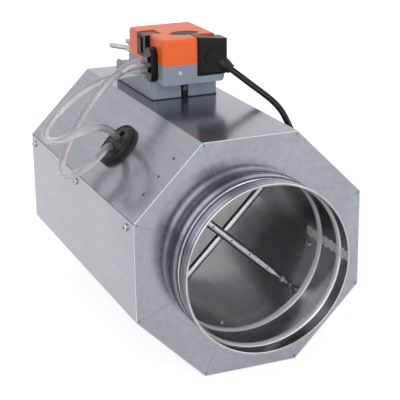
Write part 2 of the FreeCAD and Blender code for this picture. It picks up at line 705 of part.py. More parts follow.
def damper():
    """Round blade of two sheets and a rubber disc, its shaft and the two bushes."""
    blade_bottom = DUCT_INNER + " - blade_gap"
    notches = [
        cylinder("notch_top", "bush_radius + 1", "z", SHAFT,
                 (DUCT_INNER + " - bush_reach - seat", "across_flats")),
        cylinder("notch_bottom", "bush_radius + 1", "z", SHAFT,
                 ("-across_flats", "-(%s - bush_reach - seat)" % DUCT_INNER)),
    ]
    bolt_holes = []
    for index, side in enumerate((-1, 1)):
        bolt_holes.append(cylinder("bolt_hole_%d" % index, "blade_bolt_radius + running", "x",
                                   ("shaft_place", "%d * blade_bolt_place" % side), ("-30", "30")))
    rim = "(%s - blade_rivet_inset)" % blade_bottom
    rivet_spots = []
    for index in range(8):
        angle = math.radians(22.5 + 45 * index)
        spot = ("shaft_place + %s * %.9f" % (rim, math.cos(angle)), "%s * %.9f" % (rim, math.sin(angle)))
        rivet_spots.append(spot)
    rivet_holes = [cylinder("blade_rivet_hole_%d" % index, "blade_rivet_radius + running", "x", spot,
                            ("-10", "10"))
                   for index, spot in enumerate(rivet_spots)]
    bed = cylinder("shaft_bed", "shaft_radius + seat", "z", SHAFT, ("-across_flats", "across_flats"))

    for node, side in (("blade_front", -1), ("blade_rear", 1)):
        near = "seal_thickness / 2"
        far = "seal_thickness / 2 + blade_sheet"
        disc = sideways(node + "_disc", blade_bottom + " - blade_inset", side, "shaft_place", "0",
                        (near, far))
        ridge = cylinder(node + "_ridge", "shaft_radius + seat + blade_sheet", "z", SHAFT,
                         ("-(%s - bush_reach - 2 * seat)" % DUCT_INNER,
                          "%s - bush_reach - 2 * seat" % DUCT_INNER))
        room = sideways(node + "_room", "across_flats", side, "shaft_place", "0", (near, "30"))
        pressed = fuse(node + "_pressed", disc, common(node + "_half_ridge", ridge, room))
        keep(node, cut(node, pressed, bed, *(notches + bolt_holes + rivet_holes)))

    ring = sideways("seal_ring", blade_bottom, 1, "shaft_place", "0",
                    ("-seal_thickness / 2", "seal_thickness / 2"))
    hole = sideways("seal_hole", blade_bottom + " - seal_width", 1, "shaft_place", "0", ("-5", "5"))
    keep("blade_seal", cut("blade_seal", ring, hole, bed, *(notches + rivet_holes)))

    rod = cylinder("shaft_rod", "shaft_radius", "z", SHAFT,
                   ("-(%s + bush_length - bush_floor - seat)" % DUCT_OUTER, SHAFT_TOP))
    keep("damper_shaft", cut("damper_shaft", rod, *bolt_holes))

    fixings = []
    crown = "shaft_radius + seat + blade_sheet"
    for index, side in enumerate((-1, 1)):
        spot = ("shaft_place", "%d * blade_bolt_place" % side)
        stem = cylinder("blade_bolt_stem_%d" % index, "blade_bolt_radius", "x", spot,
                        ("-(%s + 2)" % crown, crown + " + 2"))
        heads = [cylinder("blade_bolt_head_%d_%d" % (index, hand), "blade_bolt_head", "x", spot, span)
                 for hand, span in enumerate((("-(%s + 2.6)" % crown, "-(%s)" % crown),
                                              (crown, crown + " + 2.6")))]
        fixings.append(fuse("blade_bolt_%d" % index, stem, *heads))
    far = "seal_thickness / 2 + blade_sheet"
    for index, spot in enumerate(rivet_spots):
        stem = cylinder("blade_rivet_stem_%d" % index, "blade_rivet_radius", "x", spot,
                        ("-(%s)" % far, far))
        heads = [cylinder("blade_rivet_head_%d_%d" % (index, hand), "blade_rivet_head", "x", spot, span)
                 for hand, span in enumerate((("-(%s + 0.9)" % far, "-(%s)" % far), (far, far + " + 0.9")))]
        fixings.append(fuse("blade_rivet_%d" % index, stem, *heads))
    keep("blade_fasteners", fuse("blade_fasteners", *fixings))

    for node, side in (("shaft_bush_upper", 1), ("shaft_bush_lower", -1)):
        low = "%s - bush_reach" % DUCT_INNER
        high = "%s + bush_length" % DUCT_OUTER
        flange = (DUCT_OUTER + " + seat", DUCT_OUTER + " + seat + bush_flange_height")
        spans = [(low, high), flange, (low + " - 1", high + (" + 1" if side > 0 else " - bush_floor"))]
        if side < 0:
            spans = [("-(%s)" % span[1], "-(%s)" % span[0]) for span in spans]
        sleeve = cylinder(node + "_sleeve", "bush_radius", "z", SHAFT, spans[0])
        collar = cylinder(node + "_collar", "bush_flange", "z", SHAFT, spans[1])
        bore = cylinder(node + "_bore", "shaft_radius + running", "z", SHAFT, spans[2])
        keep(node, cut(node, fuse(node + "_blank", sleeve, collar), bore))


# Casing width that the points of the cords are given for
ROUTE_FLATS = 224.0

# Points that each free cord runs through, from the end that is fixed first
TOTAL_HOSE = [
    (-37.8, 157.5, 153), (-53.6, 159.2, 151.6), (-70.9, 156.5, 140.4), (-86.9, 158.5, 127.4),
    (-101.1, 164, 106.4), (-113.7, 167.1, 84.6), (-123.2, 162.8, 67.7), (-132.8, 146.1, 57.2),
    (-133.8, 124.1, 57.4), (-124.8, 109.7, 64.5), (-110.2, 106.2, 75.2), (-96, 115.2, 82.8),
    (-86, 130.5, 80), (-78.5, 138, 72.5),
]
STATIC_HOSE = [
    (-37.8, 157.5, 143), (-55.1, 162.9, 141.4), (-75.8, 166, 137), (-94.9, 167.5, 130.2),
    (-113.4, 168.1, 118.2), (-130.1, 168.2, 104.2), (-141.8, 158.6, 94.1), (-147.1, 139.6, 89.8),
    (-140.1, 120.6, 93.4), (-126.2, 110.7, 101.6), (-109, 111.8, 106.1), (-94, 119.8, 101.6),
    (-82.5, 129, 91.5), (-74, 136, 80),
]
POWER_CABLE = [
    (40.3, 131, 141.4), (47.7, 126, 135), (55.4, 120.5, 128), (65.4, 113, 119.5), (73.9, 107, 111.5),
    (79.2, 102, 104.4), (82.9, 98, 96.3), (91.5, 93.5, 75), (110, 95, 57.5), (121.5, 98, 37),
    (123.5, 103, 10), (121.5, 110, -22), (121.5, 118, -53), (124, 127, -82), (133, 139, -103),
    (149, 151, -108.9), (168, 157, -108.9),
]
COIL_TURN = 37.2
COIL_LAYERS = 2

# Where each cord starts and ends: at its nipple or boot, and in the grommet or on the floor
PORT_FACE = "-(front_left + port_thickness + 1.5)"
FACET = "(across_flats / 2) * %.9f" % math.cos(math.radians(EIGHTH))
ENDS = {
    "total_pressure_hose": ((PORT_FACE, "port_place", PEDESTAL_TOP + " + upper_nipple"),
                            ("0.7 - " + FACET, "grommet_place + 9.3", FACET + " - 6.7")),
    "static_pressure_hose": ((PORT_FACE, "port_place", PEDESTAL_TOP + " + lower_nipple"),
                             ("5.2 - " + FACET, "grommet_place + 7.3", FACET + " + 0.8")),
    "power_cable": (("terminal_right + 3", "terminal_front - 1.5", PEDESTAL_TOP + " + 10.9"),
                    (HALF + " + 56", "157", "cable_radius - across_flats / 2")),
}


def laid(node, points):
    """Points of a cord spread with the casing, with its two ends kept to the pieces that hold them."""
    spread = number("across_flats") / ROUTE_FLATS
    moved = [Vector(x * spread, y, z * spread) for x, y, z in points]
    start, end = (Vector(*(number(text) for text in place_of_end)) for place_of_end in ENDS[node])
    first = start - moved[0]
    last = end - moved[-1]
    result = []
    for index, point in enumerate(moved):
        share = min(max((index - 1) / (len(points) - 3), 0), 1)
        result.append(point + first * (1 - share) + last * share)
    return result


def route_wire(points):
    """Straight runs through the points, joined by arcs as large as the runs allow."""
    edges = []
    radii = []
    here = points[0]
    for before, corner, after in zip(points, points[1:], points[2:]):
        run_in = corner - before
        run_out = after - corner
        trim = 0.45 * min(run_in.Length, run_out.Length)
        start = corner - run_in.normalize() * trim
        end = corner + run_out.normalize() * trim
        turn = run_in.getAngle(run_out)
        radius = trim / math.tan(turn / 2)
        toward = (start + end) * 0.5 - corner
        centre = corner + toward.normalize() * (radius / math.cos(turn / 2))
        middle = centre + (corner - centre).normalize() * radius
        edges.append(Part.LineSegment(here, start).toShape())
        edges.append(Part.Arc(start, middle, end).toShape())
        radii.append(round(radius, 1))
        here = end
    edges.append(Part.LineSegment(here, points[-1]).toShape())
    return Part.Wire(edges), radii


def cord_shape(wire, radius):
    """Round solid along a route."""
    first = wire.Edges[0]
    start = first.FirstParameter
    section = Part.Wire(Part.Circle(first.valueAt(start), first.tangentAt(start), radius).toShape())
    return wire.makePipeShell([section], True, True)


def cord_tube(node, points, radius):
    """Plain solid of a cord along its route."""
    wire, radii = route_wire(points)
    print(node, "length", round(wire.Length, 1), "volume by length",
          round(wire.Length * math.pi * radius ** 2, 1))
    print(node, "radii", radii)
    return solid(node, cord_shape(wire, radius))


def entry(name, points, radius):
    """Hole that follows the end of a route and runs on past it."""
    start, end = points[-2:]
    beyond = end + (end - start).normalize() * 8
    wire = route_wire(points[-4:-1] + [beyond])[0]
    return solid(name, cord_shape(wire, radius))


def hoses():
    """Rubber grommet in the upper left facet and the two hoses that run to it from the actuator."""
    face = HALF
    flange = radial("grommet_flange", "grommet_radius", "grommet_place", GROMMET_ANGLE,
                    (face, face + " + grommet_height"))
    doc.recompute()
    out = Vector(math.cos(math.radians(GROMMET_ANGLE)), 0, math.sin(math.radians(GROMMET_ANGLE)))
    top = number(face + " + grommet_height")
    soft = rounded("grommet_soft", flange, "grommet_height * 0.35",
                   lambda edge: abs(edge.CenterOfMass.dot(out) - top) < 1e-3)
    neck = radial("grommet_neck", "grommet_neck", "grommet_place", GROMMET_ANGLE,
                  (face + " - sheet - seat - grommet_back_height", face + " + 1"))
    back = radial("grommet_back", "grommet_back", "grommet_place", GROMMET_ANGLE,
                  (face + " - sheet - seat - grommet_back_height", face + " - sheet - seat"))
    groove_out = radial("grommet_groove_outer", "grommet_radius - 2.4", "grommet_place", GROMMET_ANGLE,
                        (face + " + grommet_height - 0.8", face + " + 20"))
    groove_in = radial("grommet_groove_inner", "grommet_radius - 3.6", "grommet_place", GROMMET_ANGLE,
                       (face, face + " + 21"))
    blank = fuse("grommet_blank", soft, neck, back)
    pocket = doc.addObject("Part::Box", "grommet_pocket")
    bind(pocket, Length="9", Width="9", Height="6")
    lean = Rotation(Vector(0, 1, 0), 90 - GROMMET_ANGLE)
    pocket.Placement = FreeCAD.Placement(
        out * (top - 3) + lean.multVec(Vector(5, -4, 0)) + Vector(0, number("grommet_place"), 0), lean)
    clear = number("hose_radius + seat")
    routes = {"total_pressure_hose": laid("total_pressure_hose", TOTAL_HOSE),
              "static_pressure_hose": laid("static_pressure_hose", STATIC_HOSE)}
    holes = [entry(node + "_entry", points, clear) for node, points in routes.items()]
    keep("hose_grommet",
         cut("hose_grommet", blank, cut("grommet_groove", groove_out, groove_in), pocket, *holes))
    radius = number("hose_radius")
    for node, points in routes.items():
        keep(node, cord_tube(node, points, radius))


def pedestal():
    """Plastic stand that lifts the actuator over the casing, its gasket and its holding strap."""
    left, right = "-pedestal_left", "pedestal_right"
    y = ("pedestal_front", "pedestal_rear")
    outer = box("gasket_outer", (left + " - seat", right + " + seat"), (y[0] + " - seat", y[1] + " + seat"),
                (HALF, GASKET_TOP))
    inner = box("gasket_inner", (left + " + gasket_width", right + " - gasket_width"),
                (y[0] + " + gasket_width", y[1] + " - gasket_width"), (HALF + " - 1", GASKET_TOP + " + 1"))
    gap = box("gasket_gap", (STRAP_LEFT + " - seat", STRAP_LEFT + " + strap_width + seat"),
              ("pedestal_front - 2", "pedestal_front + gasket_width + 2"),
              (HALF + " - 1", GASKET_TOP + " + 1"))
    corners = rounded("gasket_corners", outer, "housing_corner", upright)
    keep("pedestal_gasket", cut("pedestal_gasket", corners, inner, gap))

    block = rounded("pedestal_block", box("pedestal_box", (left, right), y, (GASKET_TOP, PEDESTAL_TOP)),
                    "housing_corner", upright)
    wall = "pedestal_wall"
    hollow = box("pedestal_hollow", ("%s + %s" % (left, wall), "%s - %s" % (right, wall)),
                 ("%s + %s" % (y[0], wall), "%s - %s" % (y[1], wall)),
                 (GASKET_TOP + " - 1", "%s - %s" % (PEDESTAL_TOP, wall)))
    hole = cylinder("pedestal_shaft_hole", "bush_flange", "z", SHAFT, (HALF, PEDESTAL_TOP + " + 1"))
    slot = box("pedestal_slot_cut", ("slot_place - pedestal_slot / 2", "slot_place + pedestal_slot / 2"),
               ("pedestal_front - 1", "pedestal_front + pedestal_wall + 1"),
               (GASKET_TOP + " - 1", PEDESTAL_TOP + " - 1.5"))
    ledges = []
    for index, edges in enumerate(((left, left + " + 3"), (right + " - 3", right))):
        ledges.append(box("pedestal_ledge_%d" % index, edges, ("housing_rear + seat", "pedestal_rear - 6"),
                          (PEDESTAL_TOP + " - 1", PEDESTAL_TOP + " + ledge_height")))
    keep("pedestal", cut("pedestal", fuse("pedestal_body", block, *ledges), hollow, hole, slot))

    across = (STRAP_LEFT, STRAP_LEFT + " + strap_width")
    foot = box("strap_foot", across,
               ("pedestal_front - strap_lip", "pedestal_front + strap_thickness + strap_foot"),
               (HALF, HALF + " + strap_thickness"))
    tongue = box("strap_tongue", across, ("pedestal_front", "pedestal_front + strap_thickness"),
                 (HALF, PEDESTAL_TOP + " - 2.5"))
    foot_hole = cylinder("strap_foot_hole", "strap_screw_radius + running", "z", STRAP_SCREW,
                         (HALF + " - 1", HALF + " + 5"))
    pin_hole = cylinder("strap_pin_hole", "strap_screw_radius + running", "y", STRAP_PIN,
                        ("pedestal_front - 1", "pedestal_front + 5"))
    keep("holding_strap", cut("holding_strap", fuse("strap_bent", foot, tongue), foot_hole, pin_hole))
    foot_screw = fuse("foot_screw",
                      cylinder("foot_screw_shank", "strap_screw_radius", "z", STRAP_SCREW,
                               (HALF + " - 5", HALF + " + strap_thickness + 1")),
                      cylinder("foot_screw_head", "strap_screw_head", "z", STRAP_SCREW,
                               (HALF + " + strap_thickness", HALF + " + strap_thickness + 1.6")))
    back = "pedestal_front + strap_thickness"
    pin = fuse("strap_pin",
               cylinder("strap_pin_shank", "strap_screw_radius", "y", STRAP_PIN,
                        ("pedestal_front - 1", back + " + 2.4")),
               cylinder("strap_pin_head", "strap_screw_head", "y", STRAP_PIN,
                        ("pedestal_front - 1.4", "pedestal_front")),
               cylinder("strap_pin_nut", "strap_screw_head", "y", STRAP_PIN, (back, back + " + 1.8")))
    keep("strap_screw", fuse("strap_screw", foot_screw, pin))

    neck = cylinder("seal_neck", "seal_neck", "z", SHAFT, (HALF + " - sheet - seat - seal_flange_height",
                                                           HALF + " + seal_flange_height"))
    inside = (HALF + " - sheet - seat - seal_flange_height", HALF + " - sheet - seat")
    outside = (HALF, HALF + " + seal_flange_height")
    collars = [cylinder("seal_collar_%d" % index, "seal_flange", "z", SHAFT, span)
               for index, span in enumerate((inside, outside))]
    bore = cylinder("seal_bore", "shaft_radius + running", "z", SHAFT, ("0", "across_flats"))
    keep("shaft_seal", cut("shaft_seal", fuse("seal_blank", neck, *collars), bore))


def housing_form(name, inset, low, high, crown=None):
    """Outline of the actuator's main body between two heights, moved in from the wall, narrow in front."""
    right = "housing_right - (%s)" % inset
    front = box(name + "_front_box", ("-front_left + " + inset, right),
                ("housing_front + " + inset, "inlay_rear"),
                (low, high))
    rear = box(name + "_rear_box", ("-housing_left + " + inset, right),
               ("inlay_front - seat + " + inset, "housing_rear - (%s)" % inset), (low, high))
    top = number(high)
    parts = []
    for part, block in (("front", front), ("rear", rear)):
        form = rounded("%s_%s" % (name, part), block, "housing_corner - (%s)" % inset, upright)
        if crown:
            form = rounded("%s_%s_crown" % (name, part), form, crown,
                           lambda edge: all(abs(vertex.Point.z - top) < 1e-3 for vertex in edge.Vertexes))
        parts.append(form)
    return fuse(name, *parts)


def terminal_room(name, gap, low):
    """Corner of the housing that the terminal cover fills."""
    return box(name, ("terminal_left - (%s)" % gap, "terminal_right + 5"),
               ("terminal_front - 5", "terminal_rear + (%s)" % gap), (low, COVER_TOP + " + 5"))


def lens_form(name, grow, low, high):
    """Lens-shaped prism: what two equal cylinders share."""
    rise = "((lens_length ^ 2 / 4 + lens_width ^ 2 / 4) / lens_width)"
    pair = [cylinder("%s_%d" % (name, index), "%s + %s" % (rise, grow), "z",
                     ("lens_place_x", "lens_place_y + %d * (%s - lens_width / 2)" % (side, rise)),
                     (low, high))
            for index, side in enumerate((-1, 1))]
    return common(name, *pair)


def actuator_housing():
    """Lower housing with its low nose, the cover, the inlays and the terminal cover."""
    lower = housing_form("lower_outline", "0", PEDESTAL_TOP, SPLIT)
    nose = cylinder("nose_outline", "nose_radius", "z", SHAFT, (PEDESTAL_TOP, NOSE_TOP + " - nose_plate"))
    floor = PEDESTAL_TOP + " + housing_wall"
    room = housing_form("lower_room", "housing_wall", floor, SPLIT + " + 1")
    nose_room = cylinder("nose_room", "nose_radius - housing_wall", "z", SHAFT,
                         (floor, NOSE_TOP + " - nose_plate + 1"))
    nose_seat = cylinder("nose_seat", "nose_radius + seat", "z", SHAFT,
                         (NOSE_TOP + " - nose_plate", SPLIT + " + 1"))
    shaft_hole = cylinder("lower_shaft_hole", "shaft_radius + 1", "z", SHAFT, (HALF, SPLIT))
    passage = box("nose_passage", ("-nose_radius * 0.6", "nose_radius * 0.6"),
                  ("housing_rear - 12", "housing_rear + 4"),
                  (floor, NOSE_TOP + " - nose_plate"))
    bevel = doc.addObject("Part::Box", "lower_bevel")
    bind(bevel, Length="20", Width="200", Height="20")
    place(bevel, "base_right - 4", "housing_front - 50", PEDESTAL_TOP, Rotation(Vector(0, 1, 0), 45))
    terminal = terminal_room("lower_terminal_room", "seat", PEDESTAL_TOP + " + terminal_lift - seat")
    terminal_wall = box("lower_terminal_wall", ("terminal_left - seat - housing_wall", "housing_right"),
                        ("housing_front", "terminal_rear + seat + housing_wall"),
                        (PEDESTAL_TOP + " + housing_wall", SPLIT))
    base_box = box("lower_base_box", ("0", "base_right"),
                   ("housing_front", "terminal_rear + seat + housing_wall"),
                   (PEDESTAL_TOP, PEDESTAL_TOP + " + terminal_lift - seat"))
    base = rounded("lower_base", base_box, "housing_corner", upright)
    port = port_holes("lower_port")
    screw_sink = cylinder("front_screw_sink", "screw_head + seat", "y", FRONT_SCREW,
                          ("housing_front - 1", "housing_front + 1.4"))
    screw_hole = cylinder("front_screw_hole", "screw_radius + running", "y", FRONT_SCREW,
                          ("housing_front - 1", "housing_front + 8"))
    walls = cut("lower_walls", fuse("lower_outside", lower, nose), room, nose_room, passage)
    near_seat = box("nose_seat_limit", ("-nose_radius - 1", "nose_radius + 1"),
                    ("housing_rear", "housing_rear + 60"), (HALF, COVER_TOP))
    shaped = cut("lower_shaped", fuse("lower_filled", walls, terminal_wall, base),
                 common("nose_step", nose_seat, near_seat), shaft_hole, bevel, terminal, screw_hole,
                 screw_sink, *port)
    bosses = [cylinder("nose_boss_%d" % index, "nose_screw_boss", "z", spot,
                       (floor + " - 1", NOSE_TOP + " - nose_plate"))
              for index, spot in enumerate(nose_screws())]
    pilots = [cylinder("nose_pilot_%d" % index, "nose_screw_radius + running", "z", spot, (floor, COVER_TOP))
              for index, spot in enumerate(nose_screws())]
    pins = [cylinder("axle_seat_%d" % index, "axle_radius", "z", spot, (floor + " - 1.2", floor + " + 1"))
            for index, spot in enumerate(gear_centres()[:2])]
    keep("lower_housing", cut("lower_housing", fuse("lower_bossed", shaped, *bosses), *(pilots + pins)))

    plate = cylinder("nose_plate_disc", "nose_radius", "z", SHAFT, (NOSE_TOP + " - nose_plate", NOSE_TOP))
    plate_limit = box("nose_plate_limit", ("-nose_radius - 1", "nose_radius + 1"),
                      ("housing_rear + seat", "housing_rear + 60"), (HALF, COVER_TOP))
    hub_hole = cylinder("nose_hub_hole", "collar_radius + 0.8", "z", SHAFT, (HALF, COVER_TOP))
    sinks = []
    screws = [fuse("front_screw",
                   cylinder("front_screw_shank", "screw_radius", "y", FRONT_SCREW,
                            ("housing_front + 0.4", "housing_front + 7")),
                   cylinder("front_screw_head", "screw_head", "y", FRONT_SCREW,
                            ("housing_front + 0.2", "housing_front + 1.4")))]
    for index, spot in enumerate(nose_screws()):
        sinks.append(cylinder("nose_sink_%d" % index, "nose_screw_head + seat", "z", spot,
                              (NOSE_TOP + " - 1", NOSE_TOP + " + 1")))
        sinks.append(cylinder("nose_clear_%d" % index, "nose_screw_radius + running", "z", spot,
                              (NOSE_TOP + " - 4", NOSE_TOP + " + 1")))
        screws.append(fuse("nose_screw_%d" % index,
                           cylinder("nose_screw_shank_%d" % index, "nose_screw_radius", "z", spot,
                                    (NOSE_TOP + " - 7", NOSE_TOP + " - 0.5")),
                           cylinder("nose_screw_head_%d" % index, "nose_screw_head", "z", spot,
                                    (NOSE_TOP + " - 1", NOSE_TOP))))
    keep("nose_cover", cut("nose_cover", common("nose_plate_cut", plate, plate_limit), hub_hole, *sinks))
    keep("housing_screws", fuse("housing_screws", *screws))

    crown = housing_form("cover_outline", "0", SPLIT, COVER_TOP, "3")
    cover_room = housing_form("cover_room", "housing_wall", SPLIT + " - 1", COVER_TOP + " - housing_wall")
    cover_terminal = terminal_room("cover_terminal_room", "seat", SPLIT + " - 1")
    cover_wall = box("cover_terminal_wall",
                     ("terminal_left - seat - housing_wall", "housing_right - housing_wall"),
                     ("housing_front + housing_wall", "terminal_rear + seat + housing_wall"),
                     (SPLIT, COVER_TOP + " - 1"))
    inlay_end = "-housing_left + inlay_depth + seat + housing_wall"
    inlay_walls = [box("cover_inlay_front", ("-front_left + 1", inlay_end),
                       ("inlay_front - seat - housing_wall", "inlay_front"), (SPLIT, COVER_TOP + " - 1")),
                   box("cover_inlay_rear", ("-housing_left + 1", inlay_end),
                       ("inlay_front", "inlay_rear + seat + housing_wall"), (SPLIT, COVER_TOP + " - 1"))]
    lens_cut = lens_form("cover_lens_cut", "seat", COVER_TOP + " - lens_depth", COVER_TOP + " + 1")
    lens_floor = lens_form("cover_lens_floor", "seat + housing_wall",
                           COVER_TOP + " - lens_depth - 1.5", COVER_TOP + " - 1")
    hollow = cut("cover_hollow", crown, cover_room)
    cover = cut("top_cover", fuse("cover_ribbed", hollow, cover_wall, lens_floor, *inlay_walls),
                cover_terminal,
                inlay_room("cover_inlay_room", "seat"), lens_cut, *port_holes("cover_port"))
    keep("top_cover", cover)
    keep("status_lens", lens_form("status_lens", "0", COVER_TOP + " - lens_depth", COVER_TOP + " - 0.4"))

    block = box("terminal_block", ("terminal_left", "terminal_right"), ("terminal_front", "terminal_rear"),
                (PEDESTAL_TOP + " + terminal_lift", COVER_TOP + " + 0.4"))
    slope = doc.addObject("Part::Box", "terminal_slope")
    bind(slope, Length="60", Width="60", Height="20")
    place(slope, "terminal_left", "terminal_front - 5", COVER_TOP + " + 0.4",
          Rotation(Vector(0, 1, 0), TERMINAL_SLOPE))
    sloped = cut("terminal_sloped", block, slope)
    rear = number("terminal_rear")
    shaped = rounded("terminal_soft", sloped, "terminal_corner",
                     lambda edge: max(vertex.Point.y for vertex in edge.Vertexes) < rear - 1e-3)
    dome = cylinder("terminal_dome", "boss_radius", "y",
                    ("(terminal_left + terminal_right) / 2", BOSS_HEIGHT),
                    ("terminal_front - boss_height", "terminal_front + 2"))
    socket = doc.addObject("Part::Cylinder", "boot_socket_cut")
    bind(socket, Radius="boot_radius + seat", Height="boot_socket + boot_taper + seat")
    exit_point, heading = cable_exit()
    back = exit_point - heading * number("boot_taper + boot_socket + seat")
    socket.Placement = FreeCAD.Placement(back, Rotation(Vector(0, 0, 1), heading))
    room = box("terminal_hollow", ("terminal_left + terminal_wall", "terminal_right - terminal_wall"),
               ("terminal_front + terminal_wall", "terminal_rear + 1"),
               (PEDESTAL_TOP + " + terminal_lift + terminal_wall", COVER_TOP + " - terminal_wall - 4"))
    grip = doc.addObject("Part::Cylinder", "boot_grip")
    bind(grip, Radius="boot_radius + terminal_wall", Height="boot_taper + boot_socket")
    grip.Placement = socket.Placement
    shell = common("terminal_boot_seat", grip, shaped)
    keep("terminal_cover",
         cut("terminal_cover", fuse("terminal_domed", cut("terminal_shell", shaped, room), dome, shell),
                               socket))
    strip = box("terminal_strip_block",
                ("terminal_left + terminal_wall + 1", "terminal_left + terminal_wall + 14"),
                ("terminal_rear - 9", "terminal_rear + seat"),
                (PEDESTAL_TOP + " + terminal_lift + terminal_wall + 1", SPLIT + " + 14"))
    clamps = [cylinder("terminal_clamp_%d" % index, "1.6", "y",
                       ("terminal_left + terminal_wall + 7.5", SPLIT + " - 5 + %d * 5.6" % index),
                       ("terminal_rear - 10", "terminal_rear - 5")) for index in range(4)]
    keep("terminal_strip", cut("terminal_strip", strip, *clamps))


def cable_exit():
    """Point where the cable leaves its boot, and its direction there."""
    points = laid("power_cable", POWER_CABLE)
    return points[0], (points[1] - points[0]).normalize()


def inlay_room(name, gap):
    """Notch in the left side that the side inlay fills."""
    return box(name, ("-housing_left - 5", "-housing_left + inlay_depth + (%s)" % gap),
               ("inlay_front - (%s)" % gap, "inlay_rear + (%s)" % gap),
               (SPLIT + " + inlay_lift - (%s)" % gap, COVER_TOP + " + 5"))


def port_holes(name):
    """Holes in the left wall for the two pressure nipples."""
    return [cylinder("%s_%s" % (name, row), "nipple_radius + running", "x",
                     ("port_place", nipple_height(row)),
                     ("-front_left - 5", "-front_left + 5"))
            for row in ("upper_nipple", "lower_nipple")]


def nipple_height(row):
    """Height of one pressure nipple."""
    return PEDESTAL_TOP + " + " + row


def cable_and_ports():
    """Cable, its boot and coil, the pressure port block with its nipples, and the side inlay."""
    exit_point, heading = cable_exit()
    taper = number("boot_taper")
    shank = doc.addObject("Part::Cylinder", "boot_shank")
    bind(shank, Radius="boot_radius", Height="boot_socket")
    turn = Rotation(Vector(0, 0, 1), heading)
    shank.Placement = FreeCAD.Placement(exit_point - heading * (taper + number("boot_socket")), turn)
    tip = doc.addObject("Part::Cone", "boot_tip_cone")
    bind(tip, Radius1="boot_radius", Radius2="boot_tip", Height="boot_taper")
    tip.Placement = FreeCAD.Placement(exit_point - heading * taper, turn)
    keep("strain_relief", fuse("strain_relief", shank, tip))
    points = laid("power_cable", POWER_CABLE)
    keep("power_cable", cord_tube("power_cable", points, number("cable_radius")))
    arrive = points[-1]
    onward = arrive - points[-2]
    onward.z = 0
    onward.normalize()
    centre = arrive + Vector(-onward.y, onward.x, 0) * COIL_TURN
    radius = number("cable_radius")
    floor = Vector(centre.x, centre.y, arrive.z - radius)
    ring = Part.makeCylinder(COIL_TURN + radius, 2 * radius * COIL_LAYERS, floor)
    ring = ring.cut(Part.makeCylinder(COIL_TURN - 3 * radius, 4 * radius * COIL_LAYERS,
                                      floor - Vector(0, 0, radius)))
    keep("cable_coil", solid("cable_coil", ring))

    low = "port_lift - port_half_height + port_half_width"
    high = "port_lift + port_half_height - port_half_width"
    span = ("-(front_left + port_thickness)", "-front_left")
    ends = [cylinder("port_end_%d" % index, "port_half_width", "x",
                     ("port_place", PEDESTAL_TOP + " + " + row), span)
            for index, row in enumerate((low, high))]
    middle = box("port_middle", span, ("port_place - port_half_width", "port_place + port_half_width"),
                 (PEDESTAL_TOP + " + " + low, PEDESTAL_TOP + " + " + high))
    nipples = []
    holes = []
    for row in ("upper_nipple", "lower_nipple"):
        spot = ("port_place", nipple_height(row))
        outside = "-(front_left + port_thickness + nipple_length)"
        holes.append(cylinder("port_hole_" + row, "nipple_radius + running", "x", spot, ("-100", "0")))
        stem = cylinder("nipple_stem_" + row, "nipple_radius", "x", spot,
                        (outside, "-front_left + housing_wall + 1"))
        barb = cone("nipple_barb_" + row, "nipple_radius * 0.7", "nipple_barb", "x", spot,
                    (outside, outside + " + 3"))
        bore = cylinder("nipple_bore_" + row, "nipple_radius * 0.5", "x", spot, (outside + " - 1", "0"))
        nipples.append(cut("nipple_" + row, fuse("nipple_blank_" + row, stem, barb), bore))
    keep("pressure_port_block", cut("pressure_port_block", fuse("port_blank", middle, *ends), *holes))
    keep("pressure_nipples", fuse("pressure_nipples", *nipples))

    inlay = box("inlay_block", ("-housing_left + 0.6", "-housing_left + inlay_depth"),
                ("inlay_front", "inlay_rear"),
                (SPLIT + " + inlay_lift", COVER_TOP + " - 0.8"))
    pocket = box("inlay_pocket",
                 ("-housing_left - 1", "-housing_left - button_proud + button_length + button_travel + 2"),
                 ("button_place - button_width / 2 - seat", "button_place + button_width / 2 + seat"),
                 (BUTTON_LOW + " - seat", BUTTON_LOW + " + button_height + seat"))
    keep("side_inlay", cut("side_inlay", inlay, pocket))
    button = box("button_block",
                 ("-housing_left - button_proud", "-housing_left - button_proud + button_length"),
                 ("button_place - button_width / 2", "button_place + button_width / 2"),
                 (BUTTON_LOW, BUTTON_LOW + " + button_height"))
    keep("gear_release_button", button)


def nose_screws():
    """Places of the two small screws that hold the nose cover."""
    return [("nose_screw_circle * %.9f" % math.cos(math.radians(angle)),
             "shaft_place + nose_screw_circle * %.9f" % math.sin(math.radians(angle)))
            for angle in (40, 140)]


def gear_centres():
    """Centres of the second and first intermediate gears and of the motor."""
    second = "shaft_place - tooth_module * (output_teeth + small_teeth) / 2"
    step = "sqrt((tooth_module * (wheel_teeth + small_teeth) / 2) ^ 2 - gear_shift ^ 2)"
    first = "%s - %s" % (second, step)
    return [("0", second), ("gear_shift", first), ("2 * gear_shift", "%s - %s" % (first, step))]


